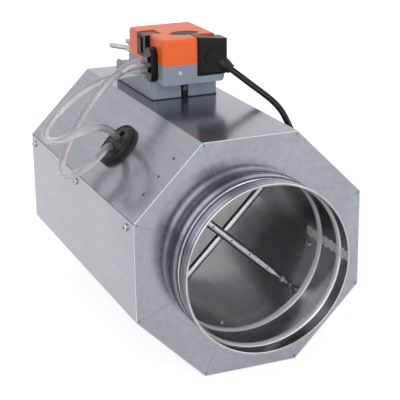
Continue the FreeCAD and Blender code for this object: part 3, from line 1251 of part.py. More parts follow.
def toothed(name, teeth, z, spot, angle):
    """Spur gear body between two heights, with a tooth at the angle given."""
    body = doc.addObject("PartDesign::Body", name)
    pitch = "tooth_module * %s / 2" % teeth
    root = "(%s - 1.25 * tooth_module)" % pitch
    tip = "(%s + 0.9 * tooth_module)" % pitch
    disc = body_sketch(body, "XY_Plane", name + "_root")
    disc.addGeometry(Part.Circle(Vector(), Vector(0, 0, 1), number(root)))
    disc.addConstraint(Sketcher.Constraint("Coincident", 0, 3, -1, 1))
    row = disc.addConstraint(Sketcher.Constraint("Radius", 0, number(root)))
    disc.setExpression("Constraints[%d]" % row, bound(root))
    base = body.newObject("PartDesign::Pad", name + "_disc")
    base.Profile = disc
    bind(base, Length="gear_thickness")
    flank = body_sketch(body, "XY_Plane", name + "_tooth_profile")
    low = "%s * sin(0.3 * 360 deg / %s)" % (root, teeth)
    high = "%s * sin(0.14 * 360 deg / %s)" % (tip, teeth)
    foot = "%s - tooth_module" % root
    outline(flank, [(foot, "-" + low), (root + " * 0.98", "-" + low), (tip, "-" + high), (tip, high),
                    (root + " * 0.98", low), (foot, low)])
    tooth = body.newObject("PartDesign::Pad", name + "_tooth")
    tooth.Profile = flank
    bind(tooth, Length="gear_thickness")
    ring = body.newObject("PartDesign::PolarPattern", name + "_teeth")
    ring.Originals = [tooth]
    ring.Axis = (flank, ["N_Axis"])
    ring.Angle = 360
    ring.Occurrences = int(number(teeth))
    body.Tip = ring
    for sketch in (disc, flank):
        sketch.Visibility = False
    return place(body, spot[0], spot[1], z, Rotation(Vector(0, 0, 1), angle))


def bearing_of(start, end):
    """Angle in degrees of the line from one bound place to another."""
    return math.degrees(math.atan2(number(end[1]) - number(start[1]), number(end[0]) - number(start[0])))


def gear_train():
    """Motor, two stages of gears and the output gear that carries half of the shaft collar."""
    second, first, motor = gear_centres()
    half_gap = 180 / SIZES["small_teeth"]
    levels = [PEDESTAL_TOP + " + housing_wall + seat"]
    for _ in range(2):
        levels.append(levels[-1] + " + gear_thickness + gear_gap")
    upper = levels[2] + " + 1"

    line = bearing_of(SHAFT, second)
    output = toothed("output_teeth", "output_teeth", levels[1], SHAFT, line)
    collar = cylinder("collar_full", "collar_radius", "z", SHAFT,
                      (levels[1] + " + 1", HALF + " + clamp_lift + yoke_half_height"))
    bore = cylinder("collar_bore", "shaft_radius + running", "z", SHAFT, ("0", "2 * across_flats"))
    away = doc.addObject("Part::Box", "collar_cut")
    bind(away, Length="40", Width="40", Height="60")
    turn = Rotation(Vector(0, 0, 1), CLAMP_ANGLE)
    corner = turn.multVec(Vector(-0.5, -20, 0))
    place(away, "%.9f" % corner.x, "shaft_place + %.9f" % corner.y, NOSE_TOP + " - nose_plate - 0.4", turn)
    keep("output_gear", cut("output_gear", fuse("output_blank", output, collar), bore, away))

    for node, spot, low, wheel_low, line_in, line_out in (
            ("second_gear", second, levels[1], levels[0], bearing_of(SHAFT, second),
             bearing_of(second, first)),
            ("first_gear", first, levels[0], upper, bearing_of(second, first), bearing_of(first, motor))):
        small = toothed(node + "_pinion", "small_teeth", low, spot, line_in + 180 + half_gap)
        wheel = toothed(node + "_wheel", "wheel_teeth", wheel_low, spot, line_out)
        hub_top = (upper if wheel_low == upper else levels[1]) + " + gear_thickness"
        hub = cylinder(node + "_hub", "tooth_module * small_teeth / 2 - 1.25 * tooth_module", "z", spot,
                       (levels[0], hub_top))
        hole = cylinder(node + "_hole", "axle_radius + running", "z", spot, ("0", "2 * across_flats"))
        keep(node, cut(node, fuse(node + "_blank", small, wheel, hub), hole))
    pins = [cylinder("axle_pin_%d" % index, "axle_radius", "z", spot,
                     (levels[0] + " - 1.2", upper + " + gear_thickness + 0.6"))
            for index, spot in enumerate((second, first))]
    keep("gear_axles", fuse("gear_axles", *pins))

    drive = toothed("motor_pinion_teeth", "small_teeth", upper, motor,
                    bearing_of(first, motor) + 180 + half_gap)
    spindle = cylinder("motor_spindle", "axle_radius", "z", motor, (upper, MOTOR_LOW + " + 3"))
    keep("motor_pinion", fuse("motor_pinion", drive, spindle))
    can = cylinder("motor_can", "motor_radius", "z", motor, (MOTOR_LOW, MOTOR_LOW + " + motor_height"))
    bearing = cylinder("motor_bearing", "axle_radius + running", "z", motor,
                       (MOTOR_LOW + " - 1", MOTOR_LOW + " + 3.2"))
    keep("motor", cut("motor", can, bearing))


def along(distance, aside="0"):
    """Bound place at a distance from the shaft in the clamp's direction, and to its left."""
    out = (math.cos(math.radians(CLAMP_ANGLE)), math.sin(math.radians(CLAMP_ANGLE)))
    x = "(%s) * %.9f - (%s) * %.9f" % (distance, out[0], aside, out[1])
    y = "shaft_place + (%s) * %.9f + (%s) * %.9f" % (distance, out[1], aside, out[0])
    return x, y


def clamp():
    """U-bolt, toothed yoke and nuts that hold the output gear's collar to the shaft, and the pointer."""
    z = HALF + " + clamp_lift"
    turn = Rotation(Vector(0, 0, 1), CLAMP_ANGLE)
    lie = turn.multiply(AXES["x"])
    ring = doc.addObject("Part::Torus", "bolt_ring")
    bind(ring, Radius1="bolt_spread", Radius2="bolt_radius")
    place(ring, "0", "shaft_place", z)
    behind = doc.addObject("Part::Box", "bolt_half")
    bind(behind, Length="40", Width="80", Height="20")
    corner = turn.multVec(Vector(-40, -40, 0))
    place(behind, "%.9f" % corner.x, "shaft_place + %.9f" % corner.y, z + " - 10", turn)
    legs = []
    holes = []
    nuts = []
    for index, side in enumerate(("bolt_spread", "-bolt_spread")):
        spot = along("0", side)
        leg = doc.addObject("Part::Cylinder", "bolt_leg_%d" % index)
        bind(leg, Radius="bolt_radius", Height="bolt_reach")
        legs.append(place(leg, spot[0], spot[1], z, lie))
        hole = doc.addObject("Part::Cylinder", "yoke_hole_%d" % index)
        bind(hole, Radius="bolt_radius + running", Height="bolt_reach")
        holes.append(place(hole, spot[0], spot[1], z, lie))
        nut = doc.addObject("Part::Prism", "nut_blank_%d" % index)
        nut.Polygon = 6
        bind(nut, Circumradius="nut_width / 2 * %.9f" % (1 / math.cos(math.radians(30))),
             Height="nut_height")
        spot = along("yoke_reach + seat", side)
        place(nut, spot[0], spot[1], z, lie)
        nuts.append(cut("nut_%d" % index, nut, hole))
    keep("clamp_u_bolt", fuse("clamp_u_bolt", common("bolt_bend", ring, behind), *legs))
    keep("clamp_nuts", fuse("clamp_nuts", *nuts))

    block = doc.addObject("Part::Box", "yoke_block")
    bind(block, Length="yoke_reach - 2", Width="2 * yoke_half_width", Height="2 * yoke_half_height")
    spot = along("2", "-yoke_half_width")
    place(block, spot[0], spot[1], z + " - yoke_half_height", turn)
    vee = doc.addObject("Part::Box", "yoke_vee")
    bind(vee, Length="30", Width="30", Height="30")
    spot = along("(shaft_radius + running) * %.9f" % math.sqrt(2))
    place(vee, spot[0], spot[1], z + " - 15", Rotation(Vector(0, 0, 1), CLAMP_ANGLE + 135))
    keep("clamp_yoke", cut("clamp_yoke", block, vee, *holes))

    low = z + " + yoke_half_height + seat"
    plate = cylinder("pointer_plate", "collar_radius", "z", SHAFT, (low, low + " + pointer_thickness"))
    finger = doc.addObject("Part::Box", "pointer_finger")
    bind(finger, Length="bolt_reach * 0.55", Width="5", Height="pointer_thickness")
    spot = along("0", "-2.5")
    place(finger, spot[0], spot[1], low, turn)
    bore = cylinder("pointer_bore", "shaft_radius + running", "z", SHAFT, ("0", "2 * across_flats"))
    keep("position_pointer", cut("position_pointer", fuse("pointer_blank", plate, finger), bore))


def electronics():
    """Circuit board and the pressure sensor that the nipples lead to."""
    low = SPLIT + " + board_lift"
    board = box("board_blank", ("-front_left + housing_wall + 0.6", "1"),
                ("housing_front + housing_wall + 2", "inlay_front - seat - housing_wall - 1"),
                (low, low + " + board_thickness"))
    chip = box("board_chip", ("-9", "-1"), ("housing_front + 12", "housing_front + 20"),
               (low, low + " + board_thickness + 1.6"))
    keep("circuit_board", fuse("circuit_board", board, chip))
    keep("pressure_sensor", box("pressure_sensor", ("-front_left + housing_wall + 1.3", "-12"),
                                ("port_place - 7", "port_place + 6.5"), (PEDESTAL_TOP + " + 9", low)))


def finish():
    """Check every object and write each sub-part to its own file."""
    doc.recompute()
    bad = [item.Name for item in doc.Objects if "Invalid" in item.State or "Error" in item.State]
    for node, piece in NODES:
        if piece.Shape.isNull() or not piece.Shape.isValid() or not piece.Shape.Solids:
            bad.append(node)
    if bad:
        raise RuntimeError("not built: " + ", ".join(bad))
    os.makedirs("parts", exist_ok=True)
    for node, piece in NODES:
        piece.Shape.exportStep(os.path.join("parts", node + ".step"))
        print(node, len(piece.Shape.Solids), round(piece.Shape.Volume, 1))


casing()
insulation()
duct()
measuring_cross()
damper()
hoses()
pedestal()
actuator_housing()
cable_and_ports()
gear_train()
clamp()
electronics()
finish()
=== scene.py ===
"""Looks of a variable air volume box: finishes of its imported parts, its hoses, cable and fine details."""

from __future__ import annotations

import logging
import math
from dataclasses import dataclass
from enum import Enum

import bmesh
import bpy
from mathutils import Matrix, Vector

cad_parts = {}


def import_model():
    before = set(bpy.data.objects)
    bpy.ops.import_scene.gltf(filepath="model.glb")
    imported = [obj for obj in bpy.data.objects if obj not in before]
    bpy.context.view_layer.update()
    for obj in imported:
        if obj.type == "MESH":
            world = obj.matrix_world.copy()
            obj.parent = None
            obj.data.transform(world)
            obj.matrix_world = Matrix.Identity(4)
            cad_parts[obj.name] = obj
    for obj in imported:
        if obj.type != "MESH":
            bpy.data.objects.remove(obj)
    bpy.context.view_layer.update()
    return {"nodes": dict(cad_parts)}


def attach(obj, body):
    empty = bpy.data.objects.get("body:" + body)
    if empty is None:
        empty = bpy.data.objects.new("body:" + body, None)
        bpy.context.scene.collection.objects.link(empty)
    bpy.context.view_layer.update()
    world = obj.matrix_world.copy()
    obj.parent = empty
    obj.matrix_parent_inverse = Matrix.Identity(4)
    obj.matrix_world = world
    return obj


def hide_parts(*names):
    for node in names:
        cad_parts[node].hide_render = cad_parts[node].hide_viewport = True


LOG = logging.getLogger("vav_box")
MM = 0.001
MERGE_REACH = 1e-7
ORIGIN = Vector()
DUCT_AXIS = Vector((0.0, 1.0, 0.0))
CORNERS = 8
HALF_CORNER = math.pi / CORNERS
SMOOTH_LIMIT = math.radians(30.0)
ALIGNED = 0.99
EVEN = (1.0, 1.0, 1.0)
WHITE = (1.0, 1.0, 1.0)
Colour = tuple[float, float, float]
Point = tuple[float, float, float]
Span = tuple[float, float]
Socket = bpy.types.NodeSocket
Tree = bpy.types.NodeTree
Piece = bpy.types.Object
Shape = bmesh.types.BMesh


class Body(str, Enum):
    """Rigid bodies of the part that new pieces ride on."""

    BOX = "box"
    DAMPER = "damper"


class Coat(Enum):
    """Kinds of surface effect that a finish can carry."""

    ZINC = "zinc_coat"
    GRAIN = "mould_grain"
    WOOL = "wool_fibre"
    BRUSHED = "brushed_metal"


def opaque(colour: Colour) -> tuple[float, float, float, float]:
    """Colour with full alpha."""
    return (*colour, 1.0)


def fill(node: bpy.types.Node, **values: object) -> None:
    """Give inputs of a node their values; an underscore stands for a space in a name."""
    for label, value in values.items():
        node.inputs[label.replace("_", " ")].default_value = value


def feed(tree: Tree, node: bpy.types.Node, *sources: Socket) -> None:
    """Link sockets to the first inputs of a node, in their order."""
    for source, target in zip(sources, node.inputs):
        tree.links.new(source, target)


def coated(name: str) -> tuple[bpy.types.Material, Tree, bpy.types.Node]:
    """New material, with its node tree and its main shader."""
    material = bpy.data.materials.new(name)
    material.use_nodes = True
    return material, material.node_tree, material.node_tree.nodes["Principled BSDF"]


def placed(name: str, data: bpy.types.ID) -> Piece:
    """New object of the scene that shows some data."""
    made = bpy.data.objects.new(name, data)
    bpy.context.scene.collection.objects.link(made)
    return made


# ---------- shader groups


@dataclass(frozen=True)
class Noise:
    """Noise over a surface: its stretch, scale and detail, the span of it that counts, and its weight."""

    stretch: Point
    scale: float
    detail: float
    span: Span = (0.3, 0.7)
    weight: float = 1.0


class Effects:
    """Shader node groups shared by the finishes, each built once."""

    CRYSTAL_SCALE = 260.0
    CRYSTAL_WEIGHT = 0.22
    STREAKS = Noise((1.0, 0.06, 1.0), 160.0, 3.0, weight=0.33)
    CLOUDS = Noise((1.0, 0.6, 1.0), 14.0, 4.0, weight=0.45)
    SPARKS = Noise(EVEN, 1800.0, 2.0)
    SHADES = Noise(EVEN, 38.0, 3.0)
    FIBRES = Noise((1.0, 7.0, 1.0), 120.0, 6.0, span=(0.35, 0.65))
    HAIRS = Noise((1.0, 1.0, 0.2), 700.0, 2.0, weight=0.5)
    SPOTS = Noise(EVEN, 90.0, 4.0, weight=0.5)

    def __init__(self) -> None:
        """Build every group."""
        self.groups: dict[Coat, Tree] = {
            Coat.ZINC: self._zinc(),
            Coat.GRAIN: self._grain(),
            Coat.WOOL: self._wool(),
            Coat.BRUSHED: self._brushed(),
        }

    @staticmethod
    def _tree(coat: Coat) -> Tree:
        """Empty group with the sockets that every effect has.

        Args:
            coat: kind of effect, which names the group.

        Returns:
            The group with its input and output nodes in place.
        """
        tree = bpy.data.node_groups.new(coat.value, "ShaderNodeTree")
        for label, way, kind in (
            ("Light", "INPUT", "NodeSocketColor"), ("Dark", "INPUT", "NodeSocketColor"),
            ("Roughness", "INPUT", "NodeSocketFloat"), ("Spread", "INPUT", "NodeSocketFloat"),
            ("Colour", "OUTPUT", "NodeSocketColor"), ("Roughness", "OUTPUT", "NodeSocketFloat"),
            ("Height", "OUTPUT", "NodeSocketFloat"),
        ):
            tree.interface.new_socket(name=label, in_out=way, socket_type=kind)
        tree.nodes.new("NodeGroupInput").name = "in"
        tree.nodes.new("NodeGroupOutput").name = "out"
        return tree

    @staticmethod
    def _noise(tree: Tree, noise: Noise) -> Socket:
        """Plain value of a noise on object coordinates."""
        place = tree.nodes.new("ShaderNodeTexCoord")
        mapping = tree.nodes.new("ShaderNodeMapping")
        fill(mapping, Scale=noise.stretch)
        node = tree.nodes.new("ShaderNodeTexNoise")
        fill(node, Scale=noise.scale, Detail=noise.detail)
        tree.links.new(place.outputs["Object"], mapping.inputs["Vector"])
        tree.links.new(mapping.outputs["Vector"], node.inputs["Vector"])
        return node.outputs["Fac"]

    @staticmethod
    def _math(tree: Tree, operation: str, first: Socket, second: Socket | float) -> Socket:
        """Add one step of arithmetic.

        Args:
            tree: the group.
            operation: the shader system's name of the step.
            first: socket that it starts from.
            second: socket or number that it takes as well.

        Returns:
            The socket of its result.
        """
        node = tree.nodes.new("ShaderNodeMath")
        node.operation = operation
        tree.links.new(first, node.inputs[0])
        if isinstance(second, bpy.types.NodeSocket):
            tree.links.new(second, node.inputs[1])
        else:
            node.inputs[1].default_value = second
        return node.outputs["Value"]

    def _share(self, tree: Tree, noise: Noise, source: Socket | None = None) -> Socket:
        """Value from 0 to the weight of a noise, as the noise goes through its span.

        Args:
            tree: the group.
            noise: the noise.
            source: its plain value, or None where nothing else reads it.

        Returns:
            The socket that gives the share.
        """
        node = tree.nodes.new("ShaderNodeMapRange")
        fill(node, From_Min=noise.span[0], From_Max=noise.span[1])
        tree.links.new(self._noise(tree, noise) if source is None else source, node.inputs["Value"])
        return self._math(tree, "MULTIPLY", node.outputs["Result"], noise.weight)

    def _close(self, tree: Tree, factor: Socket, height: Socket, middle: float = 0.5) -> Tree:
        """Feed the outputs of a group from one factor.

        Args:
            tree: the group.
            factor: 0 where the surface is dark and 1 where it is light.
            height: source of the bump.
            middle: factor at which the roughness is the plain one.

        Returns:
            The group.
        """
        inside, out = tree.nodes["in"], tree.nodes["out"]
        mix = tree.nodes.new("ShaderNodeMix")
        mix.data_type = "RGBA"
        tree.links.new(factor, mix.inputs["Factor"])
        for label, shade in (("A", "Dark"), ("B", "Light")):
            side = [item for item in mix.inputs if item.name == label and item.type == "RGBA"][0]
            tree.links.new(inside.outputs[shade], side)
        colour = [item for item in mix.outputs if item.type == "RGBA"][0]
        offset = self._math(tree, "SUBTRACT", factor, middle)
        swing = self._math(tree, "MULTIPLY", offset, inside.outputs["Spread"])
        tree.links.new(colour, out.inputs["Colour"])
        tree.links.new(self._math(tree, "ADD", inside.outputs["Roughness"], swing), out.inputs["Roughness"])
        tree.links.new(height, out.inputs["Height"])
        return tree

    def _zinc(self) -> Tree:
        """Zinc-coated sheet: flat crystals of slightly different grey, rolling streaks and dull clouds."""
        tree = self._tree(Coat.ZINC)
        place = tree.nodes.new("ShaderNodeTexCoord")
        crystals = tree.nodes.new("ShaderNodeTexVoronoi")
        fill(crystals, Scale=self.CRYSTAL_SCALE)
        tree.links.new(place.outputs["Object"], crystals.inputs["Vector"])
        shade = tree.nodes.new("ShaderNodeSeparateColor")
        tree.links.new(crystals.outputs["Color"], shade.inputs["Color"])
        flat = self._math(tree, "MULTIPLY", shade.outputs["Red"], self.CRYSTAL_WEIGHT)
        relief = self._math(tree, "ADD", flat, self._share(tree, self.STREAKS))
        return self._close(tree, self._math(tree, "ADD", relief, self._share(tree, self.CLOUDS)), relief)

    def _grain(self) -> Tree:
        """Moulded plastic: fine spark grain, slow shade changes and a rubbed gloss."""
        tree = self._tree(Coat.GRAIN)
        return self._close(tree, self._share(tree, self.SHADES), self._noise(tree, self.SPARKS))

    def _wool(self) -> Tree:
        """Mineral wool: matted fibres in pale and dark yellow."""
        tree = self._tree(Coat.WOOL)
        fibres = self._noise(tree, self.FIBRES)
        return self._close(tree, self._share(tree, self.FIBRES, fibres), fibres, middle=0.0)

    def _brushed(self) -> Tree:
        """Drawn or turned metal: hairlines and a few dull spots."""
        tree = self._tree(Coat.BRUSHED)
        hairs = self._noise(tree, self.HAIRS)
        hair, spot = self._share(tree, self.HAIRS, hairs), self._share(tree, self.SPOTS)
        return self._close(tree, self._math(tree, "ADD", hair, spot), hairs)


# ---------- finishes


@dataclass(frozen=True)
class Finish:
    """One finish of the box.

    A row gives its name, light and dark colour, effect, roughness and its spread, metallic and bump.
    """

    name: str
    light: Colour
    dark: Colour
    coat: Coat
    roughness: float
    spread: float
    metallic: float
    bump: float
    bump_depth: float = 0.0001
    transmission: float = 0.0
    subsurface: float = 0.0
    subsurface_depth: float = 0.002
    specular: float = 0.5

    def build(self, effects: Effects) -> bpy.types.Material:
        """Make the material.

        Args:
            effects: the shared shader groups.

        Returns:
            The material, with its group feeding colour, roughness and bump.
        """
        material, tree, shader = coated(self.name)
        group = tree.nodes.new("ShaderNodeGroup")
        group.node_tree = effects.groups[self.coat]
        fill(group, Light=opaque(self.light), Dark=opaque(self.dark),
             Roughness=self.roughness, Spread=self.spread)
        bump = tree.nodes.new("ShaderNodeBump")
        fill(bump, Strength=self.bump, Distance=self.bump_depth)
        tree.links.new(group.outputs["Colour"], shader.inputs["Base Color"])
        tree.links.new(group.outputs["Roughness"], shader.inputs["Roughness"])
        tree.links.new(group.outputs["Height"], bump.inputs["Height"])
        tree.links.new(bump.outputs["Normal"], shader.inputs["Normal"])
        fill(shader, Metallic=self.metallic, Transmission_Weight=self.transmission,
             Subsurface_Weight=self.subsurface, Subsurface_Scale=self.subsurface_depth,
             Specular_IOR_Level=self.specular)
        return material


FINISHES: tuple[Finish, ...] = (
    Finish("galvanised", (0.362, 0.381, 0.42), (0.262, 0.278, 0.314), Coat.ZINC, 0.18, 0.08, 0.92, 0.07),
    Finish("galvanised_inside", (0.33, 0.343, 0.348), (0.22, 0.231, 0.235), Coat.ZINC, 0.2, 0.1, 0.92, 0.04),
    Finish("spigot_steel", (0.41, 0.425, 0.45), (0.25, 0.262, 0.285), Coat.ZINC, 0.17, 0.05, 0.97, 0.03),
    Finish("blade_steel", (0.3, 0.32, 0.33), (0.22, 0.235, 0.245), Coat.ZINC, 0.28, 0.14, 0.9, 0.1),
    Finish("bright_zinc", (0.55, 0.55, 0.56), (0.36, 0.37, 0.39), Coat.BRUSHED, 0.24, 0.12, 0.95, 0.1),
    Finish("drawn_tube", (0.56, 0.57, 0.58), (0.4, 0.41, 0.43), Coat.BRUSHED, 0.22, 0.1, 0.95, 0.08),
    Finish("turned_steel", (0.42, 0.43, 0.45), (0.3, 0.31, 0.33), Coat.BRUSHED, 0.3, 0.12, 0.95, 0.1),
    Finish("grey_plastic", (0.26, 0.3, 0.355), (0.215, 0.25, 0.3), Coat.GRAIN, 0.42, 0.1, 0.0, 0.12),
    Finish("orange_plastic", (0.9, 0.145, 0.03), (0.82, 0.12, 0.022),
           Coat.GRAIN, 0.36, 0.1, 0.0, 0.1, specular=0.35),
    Finish("black_plastic", (0.01, 0.01, 0.011), (0.006, 0.006, 0.007),
           Coat.GRAIN, 0.3, 0.08, 0.0, 0.14, specular=0.14),
    Finish("dark_window", (0.006, 0.005, 0.005), (0.004, 0.004, 0.004),
           Coat.GRAIN, 0.14, 0.05, 0.0, 0.02, specular=0.02),
    Finish("black_rubber", (0.012, 0.012, 0.013), (0.007, 0.007, 0.008),
           Coat.GRAIN, 0.46, 0.12, 0.0, 0.3, specular=0.25),
    Finish("cable_sheath", (0.01, 0.01, 0.011), (0.006, 0.006, 0.006),
           Coat.GRAIN, 0.26, 0.06, 0.0, 0.1, specular=0.25),
    Finish("white_acetal", (0.86, 0.85, 0.81), (0.78, 0.77, 0.72), Coat.GRAIN, 0.4, 0.1, 0.0, 0.1),
    Finish("solder_mask", (0.02, 0.22, 0.08), (0.012, 0.15, 0.05), Coat.GRAIN, 0.25, 0.1, 0.0, 0.05),
    Finish("mineral_wool", (0.78, 0.71, 0.45), (0.5, 0.42, 0.2),
           Coat.WOOL, 0.9, 0.05, 0.0, 0.6, bump_depth=0.001),
    # Painted highlight: near-white bands on the flanks of the collar beads.
    Finish("bead_painted_highlight", (0.93, 0.94, 0.96), (0.83, 0.845, 0.87), Coat.BRUSHED, 0.24, 0.05, 0.5, 0.05),
    # Painted highlight: bright rounded folds along the edges of the casing.
    Finish("fold_painted_highlight", (0.8, 0.81, 0.83), (0.58, 0.59, 0.61), Coat.BRUSHED, 0.25, 0.1, 0.9, 0.1),
    Finish("dull_zinc", (0.36, 0.375, 0.4), (0.27, 0.285, 0.31), Coat.ZINC, 0.35, 0.1, 0.4, 0.1),
    Finish("mitre_zinc", (0.33, 0.345, 0.38), (0.24, 0.255, 0.285), Coat.ZINC, 0.3, 0.1, 0.6, 0.1),
    # Painted highlight: bright rounded cut edge of the collars.
    Finish("rim_painted_highlight", (0.8, 0.79, 0.78), (0.46, 0.43, 0.41), Coat.BRUSHED, 0.2, 0.1, 0.95, 0.2),
    Finish("heat_tint", (0.36, 0.28, 0.24), (0.2, 0.16, 0.16), Coat.ZINC, 0.22, 0.1, 0.9, 0.1),
    Finish("seam_solder", (0.82, 0.83, 0.83), (0.46, 0.47, 0.47),
           Coat.ZINC, 0.3, 0.2, 0.3, 0.6, bump_depth=0.0003),
    # Painted shadow: dark strips along the lengthwise seams of the casing.
    Finish("seam_painted_shadow", (0.055, 0.057, 0.06), (0.03, 0.031, 0.033),
           Coat.GRAIN, 0.55, 0.15, 0.0, 0.4, bump_depth=0.0002, specular=0.3),
    # Painted shade: black for the screw recesses and the bores of the sensing holes.
    Finish("recess_painted_shade", (0.012, 0.012, 0.013), (0.006, 0.006, 0.007),
           Coat.GRAIN, 0.6, 0.1, 0.0, 0.1, specular=0.1),
    Finish("core_brown", (0.16, 0.06, 0.025), (0.12, 0.045, 0.02), Coat.GRAIN, 0.35, 0.1, 0.0, 0.1),
    Finish("core_blue", (0.03, 0.1, 0.42), (0.02, 0.07, 0.32), Coat.GRAIN, 0.35, 0.1, 0.0, 0.1),
    Finish("core_grey", (0.3, 0.3, 0.31), (0.22, 0.22, 0.23), Coat.GRAIN, 0.35, 0.1, 0.0, 0.1),
    Finish("bare_copper", (0.8, 0.42, 0.26), (0.58, 0.28, 0.16), Coat.BRUSHED, 0.28, 0.1, 0.95, 0.3),
    Finish("clear_hose", (0.74, 0.71, 0.74), (0.6, 0.565, 0.6),
           Coat.GRAIN, 0.07, 0.05, 0.0, 0.02, transmission=0.72, subsurface=0.1),
    Finish("rivet_aluminium", (0.5, 0.51, 0.52), (0.38, 0.39, 0.4), Coat.BRUSHED, 0.4, 0.1, 0.35, 0.1),
    Finish("grey_rubber", (0.11, 0.115, 0.12), (0.08, 0.083, 0.087), Coat.GRAIN, 0.5, 0.1, 0.0, 0.2),
    Finish("black_screw", (0.1, 0.1, 0.105), (0.05, 0.05, 0.053), Coat.BRUSHED, 0.3, 0.1, 0.8, 0.1),
    # Painted highlight: bright bands on the outside of the collars.
    Finish("collar_painted_highlight", (0.66, 0.68, 0.71), (0.4, 0.42, 0.45), Coat.ZINC, 0.16, 0.08, 0.95, 0.04),
    # Painted shade: dark bands in the grooves outside the collars.
    Finish("groove_shade", (0.075, 0.082, 0.096), (0.045, 0.05, 0.06), Coat.ZINC, 0.22, 0.08, 0.9, 0.05),
)

DRESSED_IN: dict[str, tuple[str, ...]] = {
    "galvanised": ("casing_upper", "casing_lower"),
    "bright_zinc": (
        "casing_screws", "blade_fasteners", "housing_screws", "motor", "clamp_u_bolt", "clamp_nuts",
        "clamp_yoke",
    ),
    "mineral_wool": ("insulation_upper", "insulation_lower"),
    "spigot_steel": ("front_spigot", "rear_spigot"),
    "galvanised_inside": ("duct_tube",),
    "drawn_tube": ("spigot_rivets", "total_pressure_tube", "static_pressure_tube"),
    "rivet_aluminium": ("probe_rivets",),
    "grey_rubber": ("probe_ferrules",),
    "blade_steel": ("blade_front", "blade_rear"),
    "black_rubber": ("blade_seal", "shaft_seal", "hose_grommet", "pedestal_gasket", "strain_relief"),
    "turned_steel": ("damper_shaft", "output_gear", "gear_axles", "motor_pinion"),
    "white_acetal": ("shaft_bush_upper", "shaft_bush_lower", "second_gear", "first_gear"),
    "grey_plastic": ("pedestal", "lower_housing", "nose_cover", "terminal_strip"),
    "black_plastic": (
        "holding_strap", "terminal_cover", "pressure_port_block", "pressure_nipples", "side_inlay",
        "gear_release_button", "position_pointer", "pressure_sensor",
    ),
    "black_screw": ("strap_screw",),
    "orange_plastic": ("top_cover",),
    "dark_window": ("status_lens",),
    "solder_mask": ("circuit_board",),
}


class Workshop:
    """Materials by name, and the steps that every new piece goes through."""

    def __init__(self) -> None:
        """Build the shader groups and every finish."""
        effects = Effects()
        self.materials: dict[str, bpy.types.Material] = {item.name: item.build(effects) for item in FINISHES}

    def dress_nodes(self, nodes: dict[str, Piece]) -> None:
        """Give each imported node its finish."""
        for finish, names in DRESSED_IN.items():
            for name in names:
                slots = nodes[name].data.materials
                slots.clear()
                slots.append(self.materials[finish])
                LOG.info("dressed %s in %s", name, finish)

    def piece(self, name: str, mesh: Shape, finish: str, slot: str, body: Body = Body.BOX) -> Piece:
        """Turn a bmesh into a finished piece that rides on a body.

        Args:
            name: name of the piece.
            mesh: its shape in millimetres; it is freed.
            finish: name of its finish.
            slot: material slot of the record that it stands for; not used.
            body: body that it rides on.

        Returns:
            The piece.
        """
        bmesh.ops.scale(mesh, verts=mesh.verts, vec=(MM, MM, MM))
        bmesh.ops.remove_doubles(mesh, verts=mesh.verts, dist=MERGE_REACH)
        bmesh.ops.recalc_face_normals(mesh, faces=mesh.faces)
        for face in mesh.faces:
            face.smooth = True
        for edge in mesh.edges:
            edge.smooth = len(edge.link_faces) == 2 and edge.calc_face_angle(0.0) < SMOOTH_LIMIT
        data = bpy.data.meshes.new(name)
        mesh.to_mesh(data)
        mesh.free()
        piece = placed(name, data)
        data.materials.append(self.materials[finish])
        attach(piece, body.value)
        LOG.info("made %s with %d faces", name, len(data.polygons))
        return piece


# ---------- shapes


def facing(direction: Vector) -> Matrix:
    """Turn that takes the Z axis to a direction."""
    return direction.to_track_quat("Z", "Y").to_matrix().to_4x4()


def level(angle: float) -> Vector:
    """Level direction at an angle from the X axis."""
    return Vector((math.cos(angle), math.sin(angle), 0.0))


def leftward(direction: Vector) -> Vector:
    """Level direction that lies a quarter turn to the left of another."""
    return Vector((-direction.y, direction.x, 0.0))


def rod(mesh: Shape, start: Vector, end: Vector, radius: float, sides: int = 16) -> None:
    """Add a round bar between two places.

    Args:
        mesh: the mesh that it is added to.
        start: middle of its first end.
        end: middle of its other end.
        radius: its radius.
        sides: number of its sides.
    """
    along = end - start
    bmesh.ops.create_cone(
        mesh, cap_ends=True, cap_tris=False, segments=sides, radius1=radius, radius2=radius,
        depth=along.length, matrix=Matrix.Translation((start + end) / 2) @ facing(along),
    )


def block(mesh: Shape, middle: Vector, size: Point, turn: Matrix, edge: float = 0.0) -> None:
    """Add a turned box.

    Args:
        mesh: the mesh that it is added to.
        middle: its middle.
        size: its three sides.
        turn: how it is turned.
        edge: width of the softened edges, or 0 for sharp ones.
    """
    place = Matrix.Translation(middle) @ turn @ Matrix.Diagonal((*size, 1.0))
    made = bmesh.ops.create_cube(mesh, size=1.0, matrix=place)
    if edge > 0.0:
        edges = list({item for vert in made["verts"] for item in vert.link_edges})
        bmesh.ops.bevel(mesh, geom=edges, offset=edge, segments=2, profile=0.5, affect="EDGES", material=-1)


def oval(radius: float, along: float, height: float, width: float, sides: int) -> tuple[Span, ...]:
    """Oval outline for a ring, round a radius and a distance along its axis."""
    angles = [math.tau * step / sides for step in range(sides)]
    return tuple((radius + height * math.cos(angle), along + width * math.sin(angle)) for angle in angles)


def ringed(mesh: Shape, centre: Vector, axis: Vector, profile: tuple[Span, ...], steps: int) -> None:
    """Add a ring by spinning a closed outline about an axis.

    Args:
        mesh: the mesh that it is added to.
        centre: a place on the axis.
        axis: direction of the axis.
        profile: corners of the outline, as radius and distance along the axis.
        steps: number of steps round the axis.
    """
    turn = Matrix.Translation(centre) @ facing(axis)
    verts = [mesh.verts.new(turn @ Vector((radius, 0.0, along))) for radius, along in profile]
    edges = [mesh.edges.new(pair) for pair in zip(verts, verts[1:] + verts[:1])]
    bmesh.ops.spin(mesh, geom=verts + edges, cent=centre, axis=axis, angle=math.tau, steps=steps,
                   use_merge=True)


